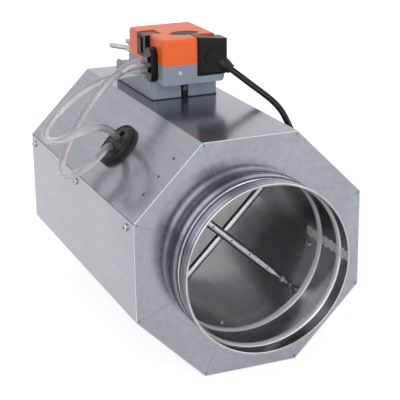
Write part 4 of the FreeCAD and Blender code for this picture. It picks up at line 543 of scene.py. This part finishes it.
def skin(mesh: Shape, outlines: list[list[Span]], thickness: float, steps: int) -> None:
    """Add thin bands by spinning open outlines about the duct's axis.

    Args:
        mesh: the mesh that they are added to, which holds nothing else.
        outlines: radius and place along the duct of the points of each band.
        thickness: wall of the bands.
        steps: number of steps round the duct.
    """
    for outline in outlines:
        verts = [mesh.verts.new((radius, place, 0.0)) for radius, place in outline]
        edges = [mesh.edges.new(pair) for pair in zip(verts, verts[1:])]
        bmesh.ops.spin(mesh, geom=verts + edges, cent=ORIGIN, axis=DUCT_AXIS, angle=math.tau, steps=steps,
                       use_merge=True)
    bmesh.ops.recalc_face_normals(mesh, faces=mesh.faces)
    bmesh.ops.solidify(mesh, geom=list(mesh.faces), thickness=thickness)


# ---------- casing


@dataclass
class Casing:
    """Folds with painted highlights, mitres, painted seam shadows and painted recess shade of the casing. Sizes
    in millimetres.
    """

    half: float = 112.0
    length: float = 320.0
    sheet: float = 1.0
    fold_radius: float = 0.42
    fold_depth: float = 0.336
    fold_inset: float = 0.6
    fold_sides: int = 10
    mitre_inner: float = 81.0
    tab_width: float = 8.0
    tab_thickness: float = 0.24
    tab_behind: float = 0.15
    tab_short: float = 0.5
    solder_width: float = 0.9
    solder_thickness: float = 0.6
    solder_depth: float = 0.36
    solder_short: float = 0.9
    shadow_strip_radius: float = 0.42
    shadow_strip_depth: float = 0.32
    shadow_strip_inset: float = 1.2
    screw_rows: tuple[float, ...] = (20.0, 165.0, 310.0)
    seam_corners: tuple[int, ...] = (3, 7)
    screw_height: float = 37.89
    screw_face: float = 114.4
    recess_size: Point = (0.1, 3.4, 0.75)
    recess_tilts: tuple[float, ...] = (25.0, 115.0)

    def build(self, shop: Workshop) -> None:
        """Make the pieces of the casing."""
        self._folds(shop)
        self._mitres(shop)
        self._recesses(shop)
        self._painted_seam_shadows(shop)

    @staticmethod
    def _bearing(index: int) -> float:
        """Angle of one corner of the octagon."""
        return HALF_CORNER * (1 + 2 * index)

    def _corner(self, index: int, reach: float, place: float) -> Vector:
        """Place on the line through one corner of the octagon."""
        angle = self._bearing(index)
        return Vector((reach * math.cos(angle), place, reach * math.sin(angle)))

    def _folds(self, shop: Workshop) -> None:
        """Rounded bends between the facets and the end flanges, coloured bright as a painted highlight."""
        mesh = bmesh.new()
        reach = (self.half - self.fold_depth) / math.cos(HALF_CORNER)
        for place in (self.fold_depth, self.length - self.fold_depth):
            for index in range(CORNERS):
                start, end = self._corner(index, reach, place), self._corner(index + 1, reach, place)
                inset = (end - start).normalized() * self.fold_inset
                rod(mesh, start + inset, end - inset, self.fold_radius, self.fold_sides)
        shop.piece("casing_fold_edges", mesh, "fold_painted_highlight", "galvanised")

    def _mitres(self, shop: Workshop) -> None:
        """Tabs that close the mitres from behind, and solder that fills them almost flush."""
        tab_end = (self.half - 1.5 * self.sheet) / math.cos(HALF_CORNER) - self.tab_short
        solder_end = self.half / math.cos(HALF_CORNER) - self.solder_short
        for name, finish, depth, outer, thickness, width in (
            ("tabs", "dull_zinc", self.sheet + self.tab_behind, tab_end, self.tab_thickness, self.tab_width),
            ("solder", "mitre_zinc", self.solder_depth, solder_end, self.solder_thickness, self.solder_width),
        ):
            mesh = bmesh.new()
            for place in (depth, self.length - depth):
                for index in range(CORNERS):
                    middle = self._corner(index, (self.mitre_inner + outer) / 2, place)
                    turn = Matrix.Rotation(-self._bearing(index), 4, "Y")
                    block(mesh, middle, (outer - self.mitre_inner, thickness, width), turn)
            shop.piece(f"mitre_{name}", mesh, finish, "galvanised")

    def _painted_seam_shadows(self, shop: Workshop) -> None:
        """Dark strips along the two lengthwise joints: painted shadow of the lapped seams."""
        mesh = bmesh.new()
        reach = (self.half - self.shadow_strip_depth) / math.cos(HALF_CORNER)
        for index in self.seam_corners:
            start = self._corner(index, reach, self.shadow_strip_inset)
            end = self._corner(index, reach, self.length - self.shadow_strip_inset)
            rod(mesh, start, end, self.shadow_strip_radius, self.fold_sides)
        shop.piece("lengthwise_seam_shadows", mesh, "seam_painted_shadow", "seal_rubber")

    def _recesses(self, shop: Workshop) -> None:
        """Thin black crosses on the heads of the seam screws: painted shade of their recesses."""
        mesh = bmesh.new()
        for side in (-1.0, 1.0):
            for row in self.screw_rows:
                middle = Vector((side * self.screw_face, row, -side * self.screw_height))
                for tilt in self.recess_tilts:
                    block(mesh, middle, self.recess_size, Matrix.Rotation(math.radians(tilt), 4, "X"))
        shop.piece("seam_screw_painted_shade", mesh, "recess_painted_shade", "zinc_screw")


# ---------- spigots


@dataclass
class Spigots:
    """Rim, heat tint, seam, painted highlight bands and painted shade bands of the two beaded collars. Sizes in
    millimetres.

    Each wave of the seam's edge has its size, its pace along the duct and its shift.
    """

    radius: float = 79.6
    wall: float = 0.8
    projection: float = 40.0
    length: float = 320.0
    round_steps: int = 128
    beads: tuple[float, ...] = (-21.0, 16.0)
    bead_depth: float = 1.8
    bead_arc: float = 6.525
    rim_inset: float = 0.7
    rim_height: float = 0.85
    rim_width: float = 0.65
    rim_sides: int = 12
    tint_start: float = 1.0
    tint_outside: float = 3.0
    tint_inside: float = 2.4
    tint_over: float = 0.06
    tint_under: float = 0.05
    crown_steps: tuple[float, ...] = (-4.7, -4.1, -3.4, -2.7, -2.0, -1.2, -0.4, 0.4)
    crown_lift: float = 0.02
    crown_thickness: float = 0.06
    painted_shade_spans: tuple[Span, ...] = ((-24.9, -19.8), (-17.8, -16.4), (-7.5, -1.2))
    painted_shade_steps: int = 6
    painted_highlight_spans: tuple[Span, ...] = ((-19.7, -17.9), (-14.0, -10.0), (-36.6, -33.0))
    painted_highlight_steps: int = 4
    band_lift: float = 0.07
    band_thickness: float = 0.05
    seam_angle: float = 0.0
    seam_sweep: float = 6.6
    seam_span: tuple[int, int] = (-39, 41)
    seam_steps: int = 6
    seam_lift: float = 0.04
    seam_thickness: float = 0.12
    seam_waves: tuple[Point, ...] = ((0.16, 0.61, 0.0), (0.10, 1.43, 1.0))

    def build(self, shop: Workshop) -> None:
        """Make the pieces of both collars."""
        for name, mirror in (("front", False), ("rear", True)):
            self._rim(shop, name, mirror)
            self._tint(shop, name, mirror)
            self._seam(shop, name, mirror)
            self._crowns(shop, name, mirror)
            # Painted shade: dark bands in the grooves outside the collar.
            self._bands(shop, f"{name}_spigot_painted_shade", "groove_shade", self.painted_shade_spans, self.painted_shade_steps, mirror)
            # Painted highlights: bright bands on the outside of the collar.
            self._bands(shop, f"{name}_spigot_painted_highlights", "collar_painted_highlight", self.painted_highlight_spans, self.painted_highlight_steps, mirror)

    def _place(self, along: float, mirror: bool) -> float:
        """Place along the duct, counted from the front or, mirrored, from the back."""
        return self.length - along if mirror else along

    def _bead_radius(self, along: float, wall: float) -> float:
        """Radius of the collar, which dips at each bead.

        Args:
            along: place along the duct.
            wall: thickness of the sheet for its inside, or 0 for its outside.

        Returns:
            The radius.
        """
        centre = self.radius - self.bead_depth + self.bead_arc
        for bead in self.beads:
            reach = (self.bead_arc + wall) ** 2 - (along - bead) ** 2
            if reach > 0.0:
                return min(self.radius - wall, centre - math.sqrt(reach))
        return self.radius - wall

    def _rim(self, shop: Workshop, name: str, mirror: bool) -> None:
        """Rounded, burred cut edge of the collar, coloured bright as a painted highlight."""
        mesh = bmesh.new()
        place = self._place(self.rim_inset - self.projection, mirror)
        width = -self.rim_width if mirror else self.rim_width
        profile = oval(self.radius - self.wall / 2, place, self.rim_height, width, self.rim_sides)
        ringed(mesh, ORIGIN, DUCT_AXIS, profile, self.round_steps)
        shop.piece(f"{name}_spigot_rim", mesh, "rim_painted_highlight", "spigot_steel")

    def _tint(self, shop: Workshop, name: str, mirror: bool) -> None:
        """Brown bands that heat left beside the edge, outside and inside."""
        mesh = bmesh.new()
        inside = self.radius - self.wall
        for low, high, far in (
            (self.radius - self.tint_under, self.radius + self.tint_over, self.tint_outside),
            (inside - self.tint_over, inside + self.tint_under, self.tint_inside),
        ):
            start, end = (self._place(place - self.projection, mirror) for place in (self.tint_start, far))
            profile = ((low, start), (high, start), (high, end), (low, end))
            ringed(mesh, ORIGIN, DUCT_AXIS, profile, self.round_steps)
        shop.piece(f"{name}_spigot_tint", mesh, "heat_tint", "spigot_steel")

    def _crowns(self, shop: Workshop, name: str, mirror: bool) -> None:
        """Painted highlights: near-white bands on the flanks of the beads inside."""
        mesh = bmesh.new()
        outlines = [
            [(self._bead_radius(bead + step, self.wall) - self.crown_lift, self._place(bead + step, mirror))
             for step in self.crown_steps]
            for bead in self.beads
        ]
        skin(mesh, outlines, self.crown_thickness, self.round_steps)
        shop.piece(f"{name}_painted_bead_highlights", mesh, "bead_painted_highlight", "spigot_steel")

    def _bands(self, shop: Workshop, piece: str, finish: str, spans: tuple[Span, ...], steps: int,
               mirror: bool) -> None:
        """Thin bands outside: painted shade in the grooves, and painted highlights on the collar.

        Args:
            shop: source of the finishes.
            piece: name of the piece.
            finish: name of its finish.
            spans: where each band starts and ends along the duct.
            steps: number of steps in each band.
            mirror: whether it is on the rear collar.
        """
        mesh = bmesh.new()
        outlines = []
        for first, last in spans:
            places = [first + (last - first) * step / steps for step in range(steps + 1)]
            outlines.append([
                (self._bead_radius(place, 0.0) + self.band_lift, self._place(place, mirror)) for place in places
            ])
        skin(mesh, outlines, self.band_thickness, self.round_steps)
        shop.piece(piece, mesh, finish, "spigot_steel")

    def _seam(self, shop: Workshop, name: str, mirror: bool) -> None:
        """Sealed lengthwise seam over the inner wall and its beads, with an uneven edge."""
        mesh = bmesh.new()
        first = math.radians(self.seam_angle - self.seam_sweep / 2)
        verts = []
        for place in range(self.seam_span[0], self.seam_span[1] + 1):
            radius = self._bead_radius(place, self.wall) - self.seam_lift
            verts.append(mesh.verts.new((
                radius * math.cos(first), self._place(place, mirror), radius * math.sin(first),
            )))
        edges = [mesh.edges.new(pair) for pair in zip(verts, verts[1:])]
        bmesh.ops.spin(mesh, geom=verts + edges, cent=ORIGIN, axis=-DUCT_AXIS,
                       angle=math.radians(self.seam_sweep), steps=self.seam_steps)
        middle = math.radians(self.seam_angle)
        for vert in mesh.verts:
            wave = 1.0 + sum(size * math.sin(vert.co.y * pace + shift) for size, pace, shift in self.seam_waves)
            radius = math.hypot(vert.co.x, vert.co.z)
            angle = middle + (math.atan2(vert.co.z, vert.co.x) - middle) * wave
            vert.co.x, vert.co.z = radius * math.cos(angle), radius * math.sin(angle)
        bmesh.ops.recalc_face_normals(mesh, faces=mesh.faces)
        bmesh.ops.solidify(mesh, geom=list(mesh.faces), thickness=self.seam_thickness)
        shop.piece(f"{name}_spigot_seam", mesh, "seam_solder", "spigot_steel")


@dataclass
class SensingHoles:
    """Black discs inside the holes of the measuring tube that faces the air: painted shade. Sizes in
    millimetres.
    """

    face: float = 42.45
    angle: float = 138.0
    reaches: tuple[float, ...] = (-50.0, -25.0, 0.0, 25.0, 50.0)
    radius: float = 0.95
    depth: float = 0.5

    def build(self, shop: Workshop) -> None:
        """Make the discs of painted shade."""
        mesh = bmesh.new()
        angle = math.radians(self.angle)
        for reach in self.reaches:
            start = Vector((reach * math.cos(angle), self.face, reach * math.sin(angle)))
            rod(mesh, start, start + DUCT_AXIS * self.depth, self.radius)
        shop.piece("sensing_hole_painted_shade", mesh, "recess_painted_shade", "tube_aluminium")


# ---------- actuator


@dataclass
class ClampThreads:
    """Rolled threads on the two legs of the U-bolt. Sizes in millimetres."""

    shaft_place: float = 234.0
    height: float = 146.4
    spread: float = 13.0
    reach: float = 49.0
    chamfer: float = 1.4
    bearing: float = 120.0
    root: float = 2.2
    ridge: float = 2.5
    pitch: float = 1.0
    root_flat: float = 0.08
    crest: Span = (0.42, 0.58)
    turns: int = 24
    sides: int = 20

    def build(self, shop: Workshop) -> None:
        """Make the threads."""
        mesh = bmesh.new()
        out = level(math.radians(self.bearing))
        for side in (-1.0, 1.0):
            foot = Vector((0.0, self.shaft_place, self.height)) + leftward(out) * side * self.spread
            for index in range(self.turns):
                start = self.reach - self.chamfer - (index + 1) * self.pitch
                rise, fall = (start + self.pitch * share for share in self.crest)
                profile = ((self.root, start + self.root_flat), (self.ridge, rise),
                           (self.ridge, fall), (self.root, start + self.pitch - self.root_flat))
                ringed(mesh, foot, out, profile, self.sides)
        shop.piece("clamp_bolt_threads", mesh, "bright_zinc", "zinc_screw", Body.DAMPER)


@dataclass
class CableBoot:
    """Moulded rings of the boot that guides the cable out of its cover. Sizes in millimetres.

    Each ring has its distance back from the tip, its radius and half its width.
    """

    tip: Point = (40.3, 131.0, 141.4)
    onward: Point = (47.7, 126.0, 135.0)
    rings: tuple[Point, ...] = ((-0.9, 4.9, 0.9), (-4.2, 5.5, 0.7), (-7.6, 6.5, 0.8))
    ring_sunk: float = 0.5
    ring_height: float = 0.55
    ring_sides: int = 8
    round_steps: int = 40

    def build(self, shop: Workshop) -> None:
        """Make the rings."""
        mesh = bmesh.new()
        tip = Vector(self.tip)
        heading = (Vector(self.onward) - tip).normalized()
        for back, radius, half in self.rings:
            profile = oval(radius - self.ring_sunk, back, self.ring_height, half, self.ring_sides)
            ringed(mesh, tip, heading, profile, self.round_steps)
        shop.piece("boot_rings", mesh, "black_rubber", "cable_sheath")


# ---------- cords


@dataclass
class Cord:
    """Free hose or cable that follows a list of points."""

    name: str
    node: str
    route: tuple[Point, ...]
    radius: float
    length: float
    finish: str
    slot: str
    far_end: str
    stiffness: str
    lay: str
    carried: tuple[Piece, ...] = ()
    round_steps: int = 6
    steps_between: int = 10
    order: int = 3

    def build(self, shop: Workshop) -> Piece:
        """Lay the cord along its route.

        Args:
            shop: source of the finishes.

        Returns:
            The curve.
        """
        curve = bpy.data.curves.new(self.name, "CURVE")
        curve.dimensions = "3D"
        curve.bevel_depth = self.radius * MM
        curve.bevel_resolution = self.round_steps
        curve.resolution_u = self.steps_between
        curve.use_fill_caps = True
        line = curve.splines.new("NURBS")
        line.points.add(len(self.route) - 1)
        for knot, place in zip(line.points, self.route):
            knot.co = (place[0] * MM, place[1] * MM, place[2] * MM, 1.0)
        line.order_u = self.order
        line.use_endpoint_u = True
        cord = placed(self.name, curve)
        curve.materials.append(shop.materials[self.finish])
        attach(cord, Body.BOX.value)
        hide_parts(self.node)
        LOG.info("laid %s", self.name)
        return cord


@dataclass
class Cords:
    """The two hoses, and the cable with its put-away coil. Places and sizes in millimetres.

    Each turn of the coil has how much wider and higher it is than the first. Each sweep has the degrees past
    the cable's end at which it starts, and those that it covers. The tie's bearing is in radians.
    """

    total_route: tuple[Point, ...] = (
        (-37.8, 157.5, 153), (-53.6, 159.2, 151.6), (-70.9, 156.5, 140.4), (-86.9, 158.5, 127.4),
        (-101.1, 164, 106.4), (-113.7, 167.1, 84.6), (-123.2, 162.8, 67.7), (-132.8, 146.1, 57.2),
        (-133.8, 124.1, 57.4), (-124.8, 109.7, 64.5), (-110.2, 106.2, 75.2), (-96, 115.2, 82.8),
        (-86, 130.5, 80), (-78.5, 138, 72.5),
    )
    static_route: tuple[Point, ...] = (
        (-37.8, 157.5, 143), (-55.1, 159.9, 142.1), (-75.8, 166, 137), (-94.9, 167.5, 130.2),
        (-113.4, 168.1, 118.2), (-130.1, 168.2, 104.2), (-141.8, 158.6, 94.1), (-147.1, 139.6, 89.8),
        (-140.1, 120.6, 93.4), (-126.2, 110.7, 101.6), (-109, 111.8, 106.1), (-94, 119.8, 101.6),
        (-82.5, 129, 91.5), (-74, 136, 80),
    )
    cable_route: tuple[Point, ...] = (
        (40.3, 131, 141.4), (47.7, 126, 135), (55.4, 120.5, 128), (65.4, 113, 119.5), (73.9, 107, 111.5),
        (79.2, 102, 104.4), (82.9, 98, 96.3), (91.5, 93.5, 75), (110, 95, 57.5), (121.5, 98, 37),
        (123.5, 103, 10), (121.5, 110, -22), (121.5, 118, -53), (124, 127, -82), (133, 139, -103),
        (149, 151, -108.9), (168, 157, -108.9),
    )
    total_length: float = 254.1
    static_length: float = 246.8
    hose_radius: float = 3.65
    cable_radius: float = 3.1
    coil_turn: float = 37.2
    coil_steps: int = 14
    coil_turns: tuple[Span, ...] = ((0.0, 0.0), (-6.3, 0.0), (-3.2, 5.6))
    coil_climb: float = 0.25
    tie_bearing: float = 2.2
    tie_reach: float = 34.1
    tie_height: float = -105.8
    tie_size: Point = (12.0, 4.4, 11.6)
    tie_corner: float = 4.0
    tie_corner_steps: int = 5
    tie_wall: float = 0.5
    buckle_rise: float = 5.6
    buckle_size: Point = (3.6, 5.2, 1.2)
    buckle_edge: float = 0.3
    cores: tuple[tuple[str, float, float], ...] = (
        ("brown", 1.3, -0.7), ("blue", -1.3, -0.7), ("grey", 0.0, 1.2),
    )
    core_radius: float = 0.85
    core_sweep: Span = (-2.0, 26.0)
    strand_radius: float = 0.45
    strand_sweep: Span = (23.5, 9.0)
    core_sides: int = 12
    core_steps: int = 10

    def build(self, shop: Workshop) -> None:
        """Lay the hoses and the cable."""
        for node, route, length in (
            ("total_pressure_hose", self.total_route, self.total_length),
            ("static_pressure_hose", self.static_route, self.static_length),
        ):
            Cord(f"{node}_line", node, route, self.hose_radius, length,
                 "clear_hose", "hose_silicone", "object", "medium", "loose").build(shop)
        self._cable(shop)

    def _cable(self, shop: Workshop) -> None:
        """Lay the cable: its route, then turns wound inward and up over the coil."""
        end = Vector(self.cable_route[-1])
        heading = end - Vector(self.cable_route[-2])
        heading.z = 0.0
        heading.normalize()
        centre = end + leftward(heading) * self.coil_turn
        start = math.atan2(end.y - centre.y, end.x - centre.x)
        points = list(self.cable_route)
        last = len(self.coil_turns) - 1
        for turn, (growth, rise) in enumerate(self.coil_turns):
            next_growth, next_rise = self.coil_turns[min(turn + 1, last)]
            for step in range(1, self.coil_steps + 1):
                share = step / self.coil_steps
                blend = max(0.0, (share - 1.0 + self.coil_climb) / self.coil_climb)
                radius = self.coil_turn + growth + (next_growth - growth) * blend
                height = end.z + rise + (next_rise - rise) * blend
                angle = start + (turn + share) * math.tau
                points.append((
                    centre.x + radius * math.cos(angle), centre.y + radius * math.sin(angle), height,
                ))
        length = sum((Vector(a) - Vector(b)).length for a, b in zip(points, points[1:]))
        stop = start + len(self.coil_turns) * math.tau
        carried = (self._tie(shop, centre, start + self.tie_bearing),
                   *self._cores(shop, centre, points[-1], stop))
        cable = Cord("power_cable_line", "power_cable", tuple(points), self.cable_radius, length,
                     "cable_sheath", "cable_sheath", "bare", "medium", "coiled", carried).build(shop)
        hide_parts("cable_coil")

    def _tie(self, shop: Workshop, centre: Vector, angle: float) -> Piece:
        """Strap round the turns of the coil, with its buckle on top."""
        mesh = bmesh.new()
        turn = Matrix.Rotation(angle, 4, "Z")
        middle = Vector((centre.x, centre.y, self.tie_height)) + level(angle) * self.tie_reach
        block(mesh, middle, self.tie_size, turn)
        across = turn.to_3x3() @ Vector((0.0, 1.0, 0.0))
        long_edges = [
            edge for edge in mesh.edges
            if abs((edge.verts[0].co - edge.verts[1].co).normalized().dot(across)) > ALIGNED
        ]
        bmesh.ops.bevel(mesh, geom=long_edges, offset=self.tie_corner, segments=self.tie_corner_steps,
                        profile=0.5, affect="EDGES", material=-1)
        mesh.normal_update()
        ends = [face for face in mesh.faces if abs(face.normal.dot(across)) > ALIGNED]
        bmesh.ops.delete(mesh, geom=ends, context="FACES_ONLY")
        bmesh.ops.solidify(mesh, geom=list(mesh.faces), thickness=-self.tie_wall)
        buckle = middle + Vector((0.0, 0.0, self.buckle_rise))
        block(mesh, buckle, self.buckle_size, turn, self.buckle_edge)
        return shop.piece("coil_tie", mesh, "black_plastic", "cable_sheath")

    def _cores(self, shop: Workshop, centre: Vector, end: Point, angle: float) -> list[Piece]:
        """Cores at the cable's end, insulated and then stripped, that bend on with the coil."""
        made = []
        radius = math.hypot(end[0] - centre.x, end[1] - centre.y)
        for name, offset, rise in self.cores:
            for part, thick, finish, (ahead, sweep) in (
                ("core", self.core_radius, f"core_{name}", self.core_sweep),
                ("strand", self.strand_radius, "bare_copper", self.strand_sweep),
            ):
                out = level(angle + math.radians(ahead))
                middle = Vector((centre.x, centre.y, end[2] + rise)) + out * (radius + offset)
                mesh = bmesh.new()
                ring = bmesh.ops.create_circle(mesh, cap_ends=False, segments=self.core_sides, radius=thick,
                                               matrix=Matrix.Translation(middle) @ facing(leftward(out)))
                bmesh.ops.spin(mesh, geom=ring["verts"] + list(mesh.edges), cent=(centre.x, centre.y, end[2]),
                               axis=(0.0, 0.0, 1.0), angle=math.radians(sweep), steps=self.core_steps)
                bmesh.ops.holes_fill(mesh, edges=[edge for edge in mesh.edges if edge.is_boundary], sides=0)
                made.append(shop.piece(f"{part}_{name}", mesh, finish, "cable_sheath"))
        return made


# ---------- scene around the part


@dataclass
class Studio:
    """Camera, lamps, floor and world. Places in millimetres, angles in degrees, clip in metres."""

    eye: Point = (-457.694, -976.078, 419.974)
    azimuth: float = 22.697
    dip: float = 18.769
    roll: float = -0.684
    focal_px: float = 1271.384
    frame_px: float = 400.0
    sensor: float = 36.0
    clip: Span = (0.01, 50.0)
    floor_level: float = -112.0
    floor_size: float = 12000.0
    floor_drop: float = 0.5
    floor_shade: Colour = (0.5, 0.5, 0.5)
    floor_roughness: float = 0.9
    floor_gloss: float = 0.1
    floor_glow: float = 0.75
    even_light: float = 0.5
    aim: Point = (0.0, 160.0, 20.0)
    lamps: tuple[tuple[str, Point, float, float], ...] = (
        ("key", (-900.0, -1200.0, 900.0), 1700.0, 16.5),
        ("fill", (1100.0, -1300.0, 500.0), 1300.0, 6.5),
        ("back", (300.0, 1100.0, 2000.0), 1300.0, 6.5),
    )

    def build(self) -> None:
        """Set up everything that isn't the part."""
        self._camera()
        self._lamps()
        self._floor()
        self._world()
        bpy.context.scene.view_settings.view_transform = "Standard"

    def _camera(self) -> None:
        """Camera at the photograph's angle."""
        data = bpy.data.cameras.new("camera")
        data.sensor_width = self.sensor
        data.lens = self.sensor * self.focal_px / self.frame_px
        data.clip_start, data.clip_end = self.clip
        camera = placed("camera", data)
        azimuth, dip = math.radians(self.azimuth), math.radians(self.dip)
        ahead = Vector((math.sin(azimuth) * math.cos(dip), math.cos(azimuth) * math.cos(dip), -math.sin(dip)))
        turn = ahead.to_track_quat("-Z", "Y").to_matrix().to_4x4()
        camera.matrix_world = (
            Matrix.Translation(Vector(self.eye) * MM) @ turn @ Matrix.Rotation(math.radians(self.roll), 4, "Z")
        )
        bpy.context.scene.camera = camera

    def _lamps(self) -> None:
        """Soft square lamps aimed at the middle of the box."""
        aim = Vector(self.aim) * MM
        for name, place, size, power in self.lamps:
            data = bpy.data.lights.new(name, "AREA")
            data.size = size * MM
            data.energy = power
            lamp = placed(name, data)
            lamp.location = Vector(place) * MM
            lamp.rotation_mode = "QUATERNION"
            lamp.rotation_quaternion = (aim - lamp.location).to_track_quat("-Z", "Y")

    def _floor(self) -> None:
        """Plain pale floor under the box."""
        mesh = bmesh.new()
        bmesh.ops.create_grid(mesh, x_segments=1, y_segments=1, size=self.floor_size * MM / 2)
        bmesh.ops.translate(mesh, verts=mesh.verts, vec=(0.0, 0.0, (self.floor_level - self.floor_drop) * MM))
        data = bpy.data.meshes.new("floor")
        mesh.to_mesh(data)
        mesh.free()
        floor = placed("floor", data)
        material, tree, shader = coated("pale_floor")
        fill(shader, Base_Color=opaque(self.floor_shade), Roughness=self.floor_roughness,
             Specular_IOR_Level=self.floor_gloss)
        glow = tree.nodes.new("ShaderNodeEmission")
        fill(glow, Strength=self.floor_glow)
        add = tree.nodes.new("ShaderNodeAddShader")
        seen = tree.nodes.new("ShaderNodeMixShader")
        feed(tree, add, shader.outputs["BSDF"], glow.outputs["Emission"])
        feed(tree, seen, self._shown(tree), shader.outputs["BSDF"], add.outputs["Shader"])
        tree.links.new(seen.outputs["Shader"], tree.nodes["Material Output"].inputs["Surface"])
        data.materials.append(material)

    @staticmethod
    def _shown(tree: Tree) -> Socket:
        """1 where the camera, metal or glass looks, and 0 for light that falls on the box."""
        path = tree.nodes.new("ShaderNodeLightPath")
        share = path.outputs["Is Camera Ray"]
        for label in ("Is Glossy Ray", "Is Transmission Ray"):
            most = tree.nodes.new("ShaderNodeMath")
            most.operation = "MAXIMUM"
            feed(tree, most, share, path.outputs[label])
            share = most.outputs["Value"]
        return share

    def _world(self) -> None:
        """White for what the camera, metal and glass see, and an even grey for the light on the box."""
        world = bpy.data.worlds.new("studio")
        bpy.context.scene.world = world
        world.use_nodes = True
        tree = world.node_tree
        lit = tree.nodes["Background"]
        fill(lit, Color=opaque(WHITE), Strength=self.even_light)
        white = tree.nodes.new("ShaderNodeBackground")
        fill(white, Color=opaque(WHITE))
        mix = tree.nodes.new("ShaderNodeMixShader")
        feed(tree, mix, self._shown(tree), lit.outputs["Background"], white.outputs["Background"])
        tree.links.new(mix.outputs["Shader"], tree.nodes["World Output"].inputs["Surface"])


def main() -> None:
    """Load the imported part, dress it and set the studio around it."""
    logging.basicConfig(level=logging.INFO, format="%(name)s: %(message)s")
    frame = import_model()
    shop = Workshop()
    shop.dress_nodes(frame["nodes"])
    for assembly in (Casing(), Spigots(), SensingHoles(), ClampThreads(), CableBoot(), Cords()):
        assembly.build(shop)
    Studio().build()


if __name__ == "__main__":
    main()
